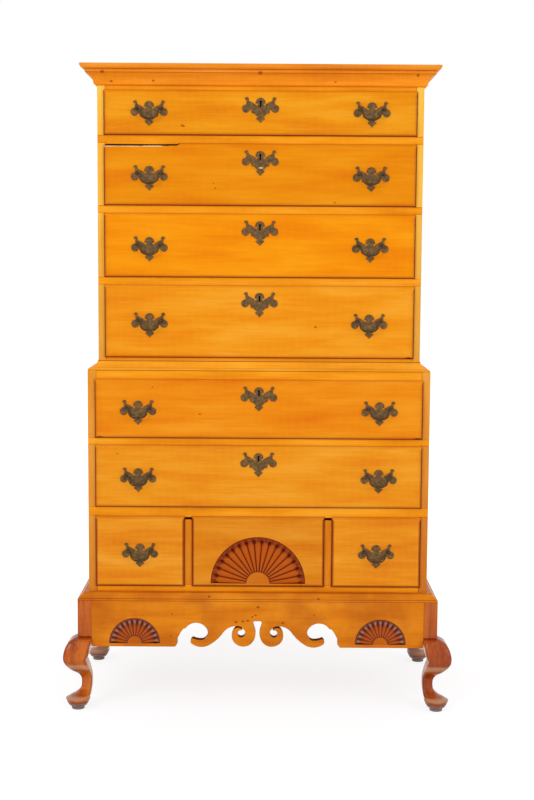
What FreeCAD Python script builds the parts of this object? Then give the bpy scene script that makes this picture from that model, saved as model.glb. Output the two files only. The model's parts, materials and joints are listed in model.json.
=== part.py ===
"""Chest-on-chest of maple on a low frame with cabriole legs: nine lipped drawers with brass pulls and locks.

Millimetres. X runs to the right, Y to the back and Z up; the front looks along -Y. The origin is on the
floor under the middle of the frame.
"""
import FreeCAD, Part
import math
import os
from types import SimpleNamespace
from FreeCAD import Vector

SIZES = (
    # the frame and its legs
    ("frame_reach", 29.5, "how far the frame stands out past the lower case at each side"),
    ("frame_front_reach", 29, "how far the frame stands out in front of the lower case"),
    ("leg_height", 210, "floor to the underside of a leg's square block"),
    ("leg_block", 39, "side of a leg's square block"),
    ("block_height", 105, "height of a leg's square block"),
    ("pad_width", 70, "diameter of a pad foot"),
    ("pad_top", 33, "floor to the top of a pad foot"),
    ("disc_width", 37, "diameter of the disc under a pad foot"),
    ("disc_height", 10, "height of the disc under a pad foot"),
    ("apron_height", 133, "front apron and side rails of the frame, top to bottom"),
    ("back_rail_height", 90, "back rail of the frame, top to bottom"),
    ("apron_thickness", 22, "thickness of the apron and the frame's rails"),
    ("scroll_gap", 44, "rim of a small fan to the end of the apron's scrolled cut"),
    ("scroll_rise", 76, "apron's bottom edge to the top of the middle notch"),
    ("frame_board", 22, "thickness of the bevelled board on the frame"),
    ("frame_board_width", 75, "width of the bevelled board on the frame"),
    ("board_fillet", 5, "upright edge left below the bevel"),
    ("bevel_run", 16.5, "bevel, measured in from the edge"),
    # the two cases
    ("upper_width", 914, "upper case, left to right"),
    ("waist_reach", 28.5, "how far the lower case stands out past the upper, at its front and each side"),
    ("lower_depth", 453, "lower case, front to back"),
    ("case_back_inset", 8, "back of the frame to the back of the cases"),
    ("lower_side", 24, "thickness of the lower case's sides"),
    ("upper_side", 22, "thickness of the upper case's sides"),
    ("case_board", 20, "thickness of the cases' top and bottom boards"),
    ("back_board", 12, "thickness of the back boards"),
    ("rail_depth", 75, "front to back of the rails between drawers"),
    ("top_rail_depth", 22, "front to back of the rails at the top of a case"),
    ("tongue_depth", 20, "front to back of the tongues of rails that run through the sides"),
    ("runner_width", 30, "width of a drawer runner"),
    ("runner_height", 19, "height of a drawer runner"),
    ("guide_height", 30, "height of the guides behind the upright dividers"),
    ("divider_gap", 6, "open gap at the front of each upright divider's top"),
    ("divider_gap_depth", 20, "how far that gap reaches in"),
    # heights of the drawer lips, and what shows of the case between them, from the top down
    ("head_upper", 12, "cornice down to the first lip"),
    ("row_1_height", 125, "first drawer's lip"),
    ("gap_1_2", 21, "first lip to the second"),
    ("row_2_height", 174, "second drawer's lip"),
    ("gap_2_3", 21, "second lip to the third"),
    ("row_3_height", 180, "third drawer's lip"),
    ("gap_3_4", 21, "third lip to the fourth"),
    ("row_4_height", 206.5, "fourth drawer's lip"),
    ("sill_upper", 35, "fourth lip down to the foot of the upper case"),
    ("head_lower", 23.5, "top of the lower case down to the fifth lip"),
    ("row_5_height", 169, "fifth drawer's lip"),
    ("gap_5_6", 19, "fifth lip to the sixth"),
    ("row_6_height", 179.5, "sixth drawer's lip"),
    ("gap_6_7", 25.5, "sixth lip to the bottom row"),
    ("row_7_height", 204.5, "lips of the bottom row"),
    ("sill_lower", 15.5, "bottom row's lips down to the foot of the lower case"),
    ("fan_drawer_width", 380, "lip of the middle drawer of the bottom row"),
    ("small_gap", 20, "what shows of an upright divider between two lips"),
    # mouldings
    ("cornice_height", 56, "cornice, top to bottom"),
    ("cornice_reach", 44, "how far the cornice stands out"),
    ("cornice_rise", 5, "cornice's top above the case's top"),
    ("waist_height", 28, "moulding between the cases, top to bottom"),
    # drawers
    ("lip_overlap", 4, "how far a lip laps over the case around its opening"),
    ("lip_thickness", 8, "how far a lip stands in front of the case"),
    ("lip_round", 6, "rounding of a lip's front edge"),
    ("front_depth", 14, "how far a drawer front reaches into its opening"),
    ("drawer_play", 1.5, "room beside a drawer in its opening"),
    ("head_room", 2, "room above a drawer in its opening"),
    ("running_gap", 0.3, "clearance where a piece runs or seats on another"),
    ("drawer_side", 12, "thickness of a drawer's sides and back"),
    ("drawer_bottom", 9, "thickness of a drawer's bottom board"),
    ("bottom_lift", 8, "lower edge of a drawer's sides to its bottom board"),
    ("side_drop", 14, "top of a drawer front to the top of its sides"),
    ("drawer_back_room", 22, "back of a drawer to the back boards"),
    ("broken_lip", 217, "length broken off the second drawer's top lip, from its left end"),
    # carved fans
    ("fan_radius", 135, "large fan, centre to rim"),
    ("fan_hub", 34, "large fan, radius of its plain middle"),
    ("fan_rim", 15, "large fan, width of its sloping rim"),
    ("fan_lift", 10, "drawer's lower edge to the large fan's base"),
    ("fan_depth", 6, "large fan, depth at the foot of its rim"),
    ("small_fan_radius", 72, "small fan, centre to rim"),
    ("small_fan_hub", 21, "small fan, radius of its plain middle"),
    ("small_fan_rim", 8, "small fan, width of its sloping rim"),
    ("small_fan_lift", 10, "apron's lower edge to the small fans' base"),
    ("small_fan_depth", 4.5, "small fan, depth at the foot of its rim"),
    ("small_fan_inset", 124, "end of the apron to a small fan's centre"),
    ("petal_dip", 0.8, "how far the petals lie below the face"),
    # pulls, escutcheons and locks
    ("pull_inset_upper", 124, "end of an upper drawer's opening to the middle of its pull"),
    ("pull_inset_lower", 119.5, "end of a lower drawer's opening to the middle of its pull"),
    ("pull_drop", 11, "middle of a drawer down to the middle of its pull plates"),
    ("top_pull_drop", 3, "the same on the first drawer"),
    ("escutcheon_drop", 55, "top of a lip down to the middle of its escutcheon"),
    ("plate_width", 107, "pull plate, left to right"),
    ("plate_height", 73.6, "pull plate, top to bottom"),
    ("plate_thickness", 2.2, "thickness of a pull plate"),
    ("keyhole_round", 6, "diameter of the keyhole's round top"),
    ("keyhole_slot", 4, "width of the keyhole's slot"),
    ("keyhole_length", 17, "keyhole, top to bottom"),
    ("keyhole_drop", 9, "top of an escutcheon's dome to its keyhole"),
    ("post_spread", 68, "between the two posts of a pull"),
    ("post_drop", 21, "top of a plate's dome to its posts"),
    ("post_width", 9, "diameter of a post"),
    ("post_nose", 5.5, "bail's axis to the front end of its post"),
    ("shank_width", 4.5, "side of a post's square shank"),
    ("shank_room", 0.3, "clearance around a shank"),
    ("nut_width", 11, "side of a post's square nut"),
    ("nut_thickness", 4, "thickness of a post's nut"),
    ("bail_stand_off", 11, "front of a plate to the bail's axis"),
    ("bail_width", 52, "between the middles of a bail's arms"),
    ("bail_drop", 28, "bail's axis down to the middle of its grip"),
    ("bail_wire", 4.6, "thickness of a bail"),
    ("bail_pin", 4, "diameter of a bail's pins"),
    ("pin_clearance", 0.08, "radial running fit of a bail's pins"),
    ("lock_width", 60, "lock case, left to right"),
    ("lock_height", 52, "lock case, top to bottom"),
    ("lock_thickness", 10, "lock case, front to back"),
    ("bolt_width", 24, "lock bolt, left to right"),
    ("bolt_height", 32, "lock bolt, top to bottom"),
    ("bolt_thickness", 5, "lock bolt, front to back"),
    ("bolt_throw", 8, "how far a lock bolt rises"),
    ("mortise_room", 1, "room around a raised bolt in its mortise"),
    # for every cut
    ("overrun", 1, "how far a cutting shape passes the face that it cuts"),
)

doc = FreeCAD.newDocument("chest_on_chest")
sheet = doc.addObject("Spreadsheet::Sheet", "sizes")
for row, (alias, number, meaning) in enumerate(SIZES, start=1):
    sheet.set(f"A{row}", meaning)
    sheet.set(f"B{row}", str(number))
    sheet.setAlias(f"B{row}", alias)
doc.recompute()


class Measure:
    """A length made of sheet cells: the expression that binds it, and its value for a shape made in code."""

    def __init__(self, text, value):
        self.text = text
        self.value = value

    def joined(self, sign, other, value):
        return Measure(f"({self.text} {sign} {other.text})", value)

    def __add__(self, other):
        other = measure(other)
        return self.joined("+", other, self.value + other.value)

    def __sub__(self, other):
        other = measure(other)
        return self.joined("-", other, self.value - other.value)

    def __mul__(self, other):
        other = measure(other)
        return self.joined("*", other, self.value * other.value)

    def __truediv__(self, other):
        other = measure(other)
        return self.joined("/", other, self.value / other.value)

    def __neg__(self):
        return measure(0) - self


def measure(thing):
    """A Measure as it is, or a plain count or share as one."""
    return thing if isinstance(thing, Measure) else Measure(repr(thing), thing)


S = SimpleNamespace()
for alias, number, meaning in SIZES:
    setattr(S, alias, Measure(f"sizes.{alias}", float(getattr(sheet, alias))))
HALF = 0.5
ZERO = measure(0)

# Places that follow from the sizes

lower_width = S.upper_width + S.waist_reach * 2
frame_x = lower_width / 2 + S.frame_reach
frame_y = (S.lower_depth + S.case_back_inset + S.frame_front_reach) / 2
frame_top = S.leg_height + S.block_height
lower_floor = frame_top + S.frame_board
case_back = frame_y - S.case_back_inset
lower_front = case_back - S.lower_depth
upper_front = lower_front + S.waist_reach
back_board_front = case_back - S.back_board
apron_end = frame_x - S.leg_block
small_fan_x = apron_end - S.small_fan_inset
scroll_half = small_fan_x - S.small_fan_radius - S.scroll_gap

lip_low = {7: lower_floor + S.sill_lower}
lip_low[6] = lip_low[7] + S.row_7_height + S.gap_6_7
lip_low[5] = lip_low[6] + S.row_6_height + S.gap_5_6
lower_top = lip_low[5] + S.row_5_height + S.head_lower
lip_low[4] = lower_top + S.sill_upper
lip_low[3] = lip_low[4] + S.row_4_height + S.gap_3_4
lip_low[2] = lip_low[3] + S.row_3_height + S.gap_2_3
lip_low[1] = lip_low[2] + S.row_2_height + S.gap_1_2
lip_height = {1: S.row_1_height, 2: S.row_2_height, 3: S.row_3_height, 4: S.row_4_height}
lip_height.update({5: S.row_5_height, 6: S.row_6_height, 7: S.row_7_height})
cornice_low = lip_low[1] + S.row_1_height + S.head_upper
cornice_top = cornice_low + S.cornice_height
upper_top = cornice_top - S.cornice_rise

UPPER_ROW_COUNT = 4
ROW_COUNT = 7
UPPER_ROWS = tuple(range(1, UPPER_ROW_COUNT + 1))
LOWER_ROWS = tuple(range(UPPER_ROW_COUNT + 1, ROW_COUNT + 1))
LONG_ROWS = UPPER_ROWS + LOWER_ROWS[:-1]


def opening_low(row):
    """Height of the lower edge of a row's opening in its case."""
    return lip_low[row] + S.lip_overlap


def opening_high(row):
    """Height of the upper edge of a row's opening in its case."""
    return lip_low[row] + lip_height[row] - S.lip_overlap


def opening_half(row):
    """Half the clear width between the sides of a row's case."""
    if row in UPPER_ROWS:
        return S.upper_width / 2 - S.upper_side
    return lower_width / 2 - S.lower_side


def case_front(row):
    """Front plane of a row's case."""
    return upper_front if row in UPPER_ROWS else lower_front


# Small tools that make document objects

def bind(thing, **lengths):
    """Ties properties of an object to sheet expressions."""
    for name, length in lengths.items():
        thing.setExpression(name, length.text)
    return thing


def put(thing, x, y, z):
    """Ties an object's place to sheet expressions."""
    for axis, length in zip("xyz", (x, y, z)):
        thing.setExpression("Placement.Base." + axis, measure(length).text)
    return thing


def board(name, x, y, z):
    """A squared board, given by its two ends along each axis."""
    thing = doc.addObject("Part::Box", name)
    bind(thing, Length=x[1] - x[0], Width=y[1] - y[0], Height=z[1] - z[0])
    return put(thing, x[0], y[0], z[0])


def pair(name, x, y, z):
    """The same board on the right and, mirrored, on the left."""
    right = board(name + "_right", x, y, z)
    left = board(name + "_left", (-x[1], -x[0]), y, z)
    return [left, right]


def cut(name, base, tools):
    """A piece with other shapes taken out of it."""
    tool = tools[0]
    if len(tools) > 1:
        tool = doc.addObject("Part::Compound", name + "_tools")
        tool.Links = tools
    thing = doc.addObject("Part::Cut", name)
    thing.Base = base
    thing.Tool = tool
    return thing


def shaped(name, shape, x=ZERO, y=ZERO, z=ZERO):
    """A piece whose form is made by part functions, set at a place bound to the sheet."""
    thing = doc.addObject("Part::Feature", name)
    thing.Shape = shape
    return put(thing, x, y, z)


def mirrored(name, source, normal):
    """The same piece on the other side of a plane through the origin."""
    thing = doc.addObject("Part::Mirroring", name)
    thing.Source = source
    thing.Normal = normal
    return thing


nodes = {}


def node(name, things):
    """Names one sub-part of the chest, made of one solid or of a group of separate ones."""
    whole = things[0]
    if len(things) > 1:
        whole = doc.addObject("Part::Compound", name)
        whole.Links = things
    whole.Label = name
    nodes[name] = whole


def outline_wire(start, steps):
    """A closed wire from steps: one point is a straight run to it, two are an arc through the first."""
    edges = []
    here = start
    for step in steps:
        if len(step) == 1:
            edges.append(Part.LineSegment(here, step[0]).toShape())
        else:
            edges.append(Part.Arc(here, step[0], step[1]).toShape())
        here = step[-1]
    if (here - start).Length > Part.Precision.confusion():
        edges.append(Part.LineSegment(here, start).toShape())
    return Part.Wire(edges)


def mirrored_outline(start, steps):
    """Steps for the right half, run back along the left half to close at the start."""
    flip = lambda point: Vector(-point.x, point.y, point.z)
    left = []
    ends = [start] + [step[-1] for step in steps]
    for step, before in zip(reversed(steps), reversed(ends[:-1])):
        left.append([flip(point) for point in step[:-1]] + [flip(before)])
    return steps + left


def faceted(rings, split=False):
    """A solid through rings of points with flat faces between them; split makes each face two triangles."""
    faces = [Part.Face(Part.makePolygon(ring + ring[:1])) for ring in (rings[0], rings[-1])]
    for low, high in zip(rings, rings[1:]):
        for a, b, c, d in zip(low, low[1:] + low[:1], high[1:] + high[:1], high):
            sides = [[a, b, c], [a, c, d]] if split else [[a, b, c, d]]
            faces += [Part.Face(Part.makePolygon(side + side[:1])) for side in sides]
    shell = Part.makeShell(faces)
    shell.sewShape()
    solid = Part.makeSolid(shell)
    return solid.reversed() if solid.Volume < 0 else solid


def placed_steps(shares, across, up):
    """Turns steps of share pairs into points: across times the first share, up times the second."""
    return [[Vector(across * u, 0, up * v) for u, v in step] for step in shares]


# Frame: legs, apron, rails and the bevelled board

# height, outer face and inner face of a leg's section, and the width of its chamfered corners,
# as shares of the leg's height and of its block; the faces count outwards from the block's outer face
LEG_SHARES = (
    (1.000, 0.00, -1.00, 0.05),
    (0.962, 0.54, -1.00, 0.16),
    (0.905, 0.77, -0.97, 0.20),
    (0.833, 0.92, -0.92, 0.22),
    (0.752, 1.01, -0.85, 0.22),
    (0.700, 0.98, -0.70, 0.22),
    (0.638, 0.86, -0.79, 0.22),
    (0.571, 0.56, -0.88, 0.21),
    (0.505, 0.13, -0.95, 0.20),
    (0.438, -0.15, -0.99, 0.20),
    (0.352, -0.23, -1.00, 0.21),
    (0.267, -0.14, -0.95, 0.23),
    (0.214, 0.13, -0.92, 0.32),
)
# where the shank meets the pad it lies within the pad's many-sided top
TOE_SHARE = 0.89
TOE_CHAMFER_SHARE = 0.52
FOOT_SIDES = 12


def chamfered_square(low, high, chamfer, height):
    """A level square section from low to high along both axes, its corners taken off."""
    near = low + chamfer
    far = high - chamfer
    ring = ((near, low), (far, low), (high, near), (high, far))
    ring += ((far, high), (near, high), (low, far), (low, near))
    return [Vector(x, y, height) for x, y in ring]


def foot_ring(radius, height):
    """A level ring of a pad foot, with its corners at a radius."""
    turns = [2 * math.pi * index / FOOT_SIDES for index in range(FOOT_SIDES)]
    return [Vector(radius * math.cos(turn), radius * math.sin(turn), height) for turn in turns]


def leg_shape():
    """One leg: a square block, an S-shaped shank sawn alike on both faces, a pad foot and its disc.

    The vertical line of the block's outer corner is the leg's own Z axis, and the knee points to +X and +Y.
    """
    block = S.leg_block.value
    height = S.leg_height.value
    pad = S.pad_width.value / 2
    pad_top = S.pad_top.value
    disc_height = S.disc_height.value
    sections = [
        chamfered_square(inner * block, outer * block, chamfer * block, share * height)
        for share, outer, inner, chamfer in LEG_SHARES
    ]
    toe = TOE_SHARE * pad
    sections.append(chamfered_square(-toe, toe, TOE_CHAMFER_SHARE * pad, pad_top))
    shank = faceted(sections)
    top = Part.makeBox(block, block, S.block_height.value, Vector(-block, -block, height))
    tread = S.disc_width.value / 2
    waist = (disc_height + pad_top) * HALF
    tuck = (pad + tread) * HALF
    levels = ((tread, 0), (tread, disc_height), (tuck, disc_height), (pad, waist), (pad, pad_top))
    foot = faceted([foot_ring(radius, level) for radius, level in levels])
    return shank.fuse([top, foot]).removeSplitter()


def make_legs():
    """Four legs: one shaped, the others mirrored from it across the middle planes."""
    back_right = shaped("leg_back_right", leg_shape(), frame_x, frame_y, ZERO)
    back_left = mirrored("leg_back_left", back_right, Vector(1, 0, 0))
    front_right = mirrored("leg_front_right", back_right, Vector(0, 1, 0))
    front_left = mirrored("leg_front_left", back_left, Vector(0, 1, 0))
    node("cabriole_legs", [back_right, back_left, front_right, front_left])


# right half of the apron's scrolled cut, from the end of its flat edge to the middle notch:
# shares of the scroll's half width, and of its rise
SCROLL_SHARES = (
    ((0.972, 0.206),),
    ((0.970, 0.375),),
    ((0.943, 0.545), (0.897, 0.700)),
    ((0.873, 0.708),),
    ((0.734, 0.925), (0.619, 0.712)),
    ((0.606, 0.470), (0.667, 0.272)),
    ((0.725, 0.278), (0.782, 0.333)),
    ((0.813, 0.225), (0.788, 0.094)),
    ((0.680, -0.005), (0.583, 0.075)),
    ((0.492, 0.285), (0.414, 0.562)),
    ((0.348, 0.738), (0.262, 0.805)),
    ((0.215, 0.795), (0.172, 0.690)),
    ((0.149, 0.524), (0.196, 0.378)),
    ((0.243, 0.524), (0.203, 0.655)),
    ((0.184, 0.668), (0.196, 0.708)),
    ((0.230, 0.748), (0.272, 0.720)),
    ((0.313, 0.455), (0.256, 0.101)),
    ((0.184, 0.019), (0.099, 0.075)),
    ((0.026, 0.430), (0.038, 0.740)),
    ((0.053, 0.900),),
    ((0.047, 0.975), (0.026, 1.000)),
    ((0.000, 1.000),),
)


def apron_shape():
    """The front apron: a board whose lower edge is sawn to hooks and volutes on both sides of a notch."""
    end = apron_end.value
    high = S.apron_height.value
    run = scroll_half.value
    corner = Vector(end, 0, 0)
    half = [[corner], [Vector(run, 0, 0)]] + placed_steps(SCROLL_SHARES, run, S.scroll_rise.value)
    start = Vector(0, 0, high)
    steps = [[Vector(end, 0, high)]] + half
    face = Part.Face(outline_wire(start, mirrored_outline(start, steps)))
    return face.extrude(Vector(0, S.apron_thickness.value, 0))


# half of a petal's section, from its crest to the groove beside it:
# shares of half its width and of the groove's depth
PETAL_SHARES = ((0.25, 0.00), (0.68, 0.30), (1.00, 1.00))


def fan_gap(radius, hub, rim, depth, pitch):
    """What is carved away above one upright petal, and in front of it where the rim slopes up to the face.

    The petal's section grows in step with the distance from the fan's centre, so all its facets are flat.
    """
    slant = math.tan(pitch * HALF)
    lead = S.overrun.value
    foot = radius - rim
    edge = radius + lead * rim / depth
    dip = S.petal_dip.value

    def section(reach):
        half = reach * slant
        groove = (depth - dip) * reach / foot
        right = [Vector(u * half, dip + v * groove, reach) for u, v in PETAL_SHARES]
        left = [Vector(-point.x, point.y, reach) for point in reversed(right)]
        return left + right + [Vector(half, -lead, reach), Vector(-half, -lead, reach)]

    ends = []
    for sign in (-1, 1):
        low = Vector(sign * foot * slant, depth, foot)
        high = Vector(sign * edge * slant, -lead, edge)
        near = Vector(sign * foot * slant, -lead, foot)
        ends.append([near, low, high])
    return [faceted([section(hub), section(foot)]), faceted(ends)]


def fan_carving(radius, hub, rim, depth, petals):
    """Everything carved away for a half-round fan: one petal's gap and slope, turned about the centre."""
    pitch = math.pi / petals
    carved = []
    for gap in fan_gap(radius, hub, rim, depth, pitch):
        for index in range(petals):
            copy = gap.copy()
            turn = math.degrees((index + HALF) * pitch) - math.degrees(math.pi * HALF)
            copy.rotate(Vector(0, 0, 0), Vector(0, 1, 0), turn)
            carved.append(copy)
    return Part.makeCompound(carved)


SMALL_FAN_PETALS = 13
LARGE_FAN_PETALS = 17


def make_frame():
    """Apron, side and back rails between the leg blocks, and the bevelled board that carries the cases."""
    apron_low = frame_top - S.apron_height
    blank = shaped("apron_blank", apron_shape(), ZERO, -frame_y, apron_low)
    carving = fan_carving(
        S.small_fan_radius.value, S.small_fan_hub.value, S.small_fan_rim.value,
        S.small_fan_depth.value, SMALL_FAN_PETALS,
    )
    fan_base = apron_low + S.small_fan_lift
    fans = [
        shaped("small_fan", carving, place, -frame_y, fan_base)
        for place in (-small_fan_x, small_fan_x)
    ]
    node("frame_apron", [cut("frame_apron_carved", blank, fans)])

    inner_y = frame_y - S.leg_block
    rails = pair(
        "frame_side_rail",
        (frame_x - S.apron_thickness, frame_x), (-inner_y, inner_y), (apron_low, frame_top),
    )
    rails.append(board(
        "frame_back_rail",
        (-apron_end, apron_end), (frame_y - S.apron_thickness, frame_y),
        (frame_top - S.back_rail_height, frame_top),
    ))
    node("frame_rails", rails)

    width = S.frame_board_width.value
    thick = S.frame_board.value
    profile = [
        [Vector(width, 0, 0)],
        [Vector(width, 0, S.board_fillet.value)],
        [Vector(width - S.bevel_run.value, 0, thick)],
        [Vector(0, 0, thick)],
    ]
    inner = (frame_x - S.frame_board_width, -frame_y + S.frame_board_width)
    boards = mitred_pieces("frame_board", profile, width, inner, frame_y, frame_top)
    boards.append(board(
        "frame_board_back",
        (-inner[0], inner[0]), (frame_y - S.frame_board_width, frame_y), (frame_top, lower_floor),
    ))
    node("frame_moulding", boards)


def mitred_pieces(name, profile, reach, inner, back, foot):
    """A moulding run along the front and back along both sides, as three pieces mitred at the corners.

    The profile is drawn outwards and up from the origin. The inner corner of the run is at inner,
    given as half the width and the front plane, and the side pieces end square at the back.
    """
    half, front = (length.value for length in inner)
    start = Vector(0, 0, 0)
    section = Part.Face(outline_wire(start, profile))
    tall = section.BoundBox.ZMax + S.overrun.value
    length = 2 * (half + reach)
    section.rotate(Vector(0, 0, 0), Vector(0, 0, 1), -90)
    section.translate(Vector(-half - reach, front, 0))
    front_run = section.extrude(Vector(length, 0, 0))
    plan = [Vector(-half, front, 0), Vector(half, front, 0), Vector(half + reach, front - reach, 0),
            Vector(-half - reach, front - reach, 0), Vector(-half, front, 0)]
    mitre = Part.Face(Part.makePolygon(plan)).extrude(Vector(0, 0, tall))
    pieces = [shaped(name + "_front", front_run.common(mitre), ZERO, ZERO, foot)]

    section = Part.Face(outline_wire(start, profile))
    section.translate(Vector(half, front - reach, 0))
    side_run = section.extrude(Vector(0, back.value - front + reach, 0))
    plan = [Vector(half, front, 0), Vector(half + reach, front - reach, 0),
            Vector(half + reach, back.value, 0), Vector(half, back.value, 0), Vector(half, front, 0)]
    mitre = Part.Face(Part.makePolygon(plan)).extrude(Vector(0, 0, tall))
    right = shaped(name + "_right", side_run.common(mitre), ZERO, ZERO, foot)
    return pieces + [right, mirrored(name + "_left", right, Vector(1, 0, 0))]


# The two cases

CORNICE_SHARES = (
    ((0.06, 0.00),),
    ((0.20, 0.06), (0.24, 0.17)),
    ((0.385, 0.43), (0.655, 0.595)),
    ((0.68, 0.595),),
    ((0.68, 0.705),),
    ((0.89, 0.765), (1.00, 0.86)),
    ((1.00, 1.00),),
    ((0.00, 1.00),),
)
WAIST_SHARES = (
    ((1.00, 0.00),),
    ((0.92, 0.17), (0.62, 0.25)),
    ((0.57, 0.25),),
    ((0.27, 0.54), (0.05, 0.90)),
    ((0.05, 1.00),),
    ((0.00, 1.00),),
)


def bolt_mortise(row):
    """The pocket above a long drawer that its raised lock bolt enters."""
    half = S.bolt_width / 2 + S.mortise_room
    middle = bolt_middle(row)
    deep = S.bolt_thickness / 2 + S.mortise_room
    low = opening_high(row)
    return board(
        f"bolt_mortise_{row}",
        (-half, half), (middle - deep, middle + deep), (low - S.overrun, low + S.bolt_throw),
    )


def bolt_middle(row):
    """Depth of the middle of a row's lock bolt."""
    return case_front(row) - S.running_gap + S.front_depth - S.lock_thickness / 2


def make_case(name, rows, width, side, foot, top, front):
    """Sides, top and bottom boards and rails of one case; the rail above each long drawer takes its bolt.

    The rails between two rows run through the sides with a tongue at each end.
    """
    half = width / 2
    inside = half - side
    sides = pair(name + "_plain_side", (inside, half), (front, case_back), (foot, top))

    last = rows[-1]
    floor_top = foot + S.case_board if last == UPPER_ROWS[-1] else opening_low(last)
    boards = [
        board(name + "_top_board", (-inside, inside), (front + S.top_rail_depth, back_board_front),
              (top - S.case_board, top)),
        board(name + "_bottom_board", (-inside, inside), (front + S.rail_depth, back_board_front),
              (foot, floor_top)),
    ]
    node(name + "_case_boards", boards)

    rails = [
        board(name + "_top_rail", (-inside, inside), (front, front + S.top_rail_depth),
              (opening_high(rows[0]), top)),
        board(name + "_foot_rail", (-inside, inside), (front, front + S.rail_depth),
              (foot, opening_low(last))),
    ]
    rails[0] = cut(name + "_mortised_top_rail", rails[0], [bolt_mortise(rows[0])])
    tongues = []
    for above, below in zip(rows, rows[1:]):
        low = opening_high(below)
        high = opening_low(above)
        rail = board(f"{name}_rail", (-inside, inside), (front, front + S.rail_depth), (low, high))
        ends = pair(
            f"{name}_tongue",
            (inside, half), (front, front + S.tongue_depth), (low + S.lip_overlap, high - S.lip_overlap),
        )
        tongues.append(ends)
        whole = doc.addObject("Part::MultiFuse", f"{name}_tongued_rail")
        whole.Shapes = [rail] + ends
        whole.Refine = True
        if below in LONG_ROWS:
            whole = cut(f"{name}_mortised_rail", whole, [bolt_mortise(below)])
        rails.append(whole)
    notched = [
        cut(f"{name}_side_{label}", plain, list(ends))
        for label, plain, ends in zip(("left", "right"), sides, zip(*tongues))
    ]
    node(name + "_case_sides", notched)
    return rails


def make_dividers():
    """Two upright dividers of the bottom row; the photo's dark gap is left open at the top of each."""
    low = opening_low(7)
    high = opening_high(7)
    near = S.fan_drawer_width / 2 - S.lip_overlap
    far = near + S.small_gap + S.lip_overlap * 2
    dividers = []
    for sign, start, end in (("left", -far, -near), ("right", near, far)):
        post = board("divider_" + sign, (start, end), (lower_front, lower_front + S.rail_depth), (low, high))
        gap = board(
            "divider_gap_" + sign,
            (start - S.overrun, end + S.overrun),
            (lower_front - S.overrun, lower_front + S.divider_gap_depth),
            (high - S.lip_overlap - S.divider_gap, high + S.overrun),
        )
        dividers.append(cut("divider_notched_" + sign, post, [gap]))
    return dividers


def make_runners():
    """Runners behind the rails at both sides of a case, and the guides between the bottom row's drawers."""
    runners = []
    for row in LONG_ROWS:
        inside = opening_half(row)
        top = opening_low(row)
        runners += pair(
            f"runner_{row}",
            (inside - S.runner_width, inside),
            (case_front(row) + S.rail_depth, back_board_front),
            (top - S.runner_height, top),
        )
    near = S.fan_drawer_width / 2 - S.lip_overlap
    far = near + S.small_gap + S.lip_overlap * 2
    low = opening_low(7)
    runners += pair(
        "guide",
        (near, far), (lower_front + S.rail_depth, back_board_front), (low, low + S.guide_height),
    )
    node("drawer_runners", runners)


BACK_BOARD_COUNT = 3


def make_backs():
    """Level back boards let in between the sides of each case."""
    boards = []
    for name, inside, low, high in (
        ("lower_back", opening_half(7), lower_floor, lower_top),
        ("upper_back", opening_half(1), lower_top, upper_top),
    ):
        step = (high - low) / BACK_BOARD_COUNT
        for index in range(BACK_BOARD_COUNT):
            boards.append(board(
                f"{name}_{index + 1}",
                (-inside, inside), (back_board_front, case_back),
                (low + step * index, low + step * (index + 1)),
            ))
    node("back_boards", boards)


def make_cases():
    """Both cases with their mouldings, dividers, runners and backs."""
    rails = make_case(
        "upper", UPPER_ROWS, S.upper_width, S.upper_side, lower_top, upper_top, upper_front
    )
    node("upper_drawer_rails", rails)
    rails = make_case(
        "lower", LOWER_ROWS, lower_width, S.lower_side, lower_floor, lower_top, lower_front
    )
    node("lower_drawer_rails", rails + make_dividers())
    inner = (S.upper_width / 2, upper_front)
    reach = S.cornice_reach.value
    profile = placed_steps(CORNICE_SHARES, reach, S.cornice_height.value)
    node("cornice_moulding", mitred_pieces("cornice", profile, reach, inner, case_back, cornice_low))
    reach = S.waist_reach.value
    profile = placed_steps(WAIST_SHARES, reach, S.waist_height.value)
    node("waist_moulding", mitred_pieces("waist", profile, reach, inner, case_back, lower_top))
    make_runners()
    make_backs()


# Brasses

# right half of a pull plate from the top of its dome down: shares of half its width and of its height
PLATE_SHARES = (
    ((0.190, -0.050),),
    ((0.256, -0.190),),
    ((0.180, -0.278),),
    ((0.570, -0.113),),
    ((0.611, -0.015),),
    ((0.733, 0.027),),
    ((0.860, -0.050),),
    ((0.764, -0.188),),
    ((0.950, -0.310),),
    ((1.000, -0.421),),
    ((0.920, -0.556),),
    ((0.690, -0.560),),
    ((0.533, -0.440),),
    ((0.480, -0.590),),
    ((0.093, -0.751),),
    ((0.230, -0.800),),
    ((0.000, -0.973),),
)
DOME_SHARE = 0.027
BAR_SIDES = 6


def plate_shape():
    """A bat-wing plate, its dome's top at the origin and its back on the drawer's face."""
    start = Vector(0, 0, 0)
    steps = placed_steps(PLATE_SHARES, S.plate_width.value * HALF, S.plate_height.value)
    face = Part.Face(outline_wire(start, mirrored_outline(start, steps)))
    return face.extrude(Vector(0, -S.plate_thickness.value, 0))


def keyhole_tool(length):
    """A keyhole's round and slot, drawn through a thickness from the face backwards."""
    radius = S.keyhole_round.value * HALF
    half = S.keyhole_slot.value * HALF
    middle = -S.keyhole_drop.value - radius
    low = -S.keyhole_drop.value - S.keyhole_length.value
    lead = S.overrun.value + S.plate_thickness.value
    round_top = six_sided(radius, Vector(0, -lead, middle), Vector(0, lead + length, 0))
    slot = Part.makeBox(2 * half, lead + length, middle - low, Vector(-half, -lead, low))
    return round_top.fuse(slot)


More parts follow.
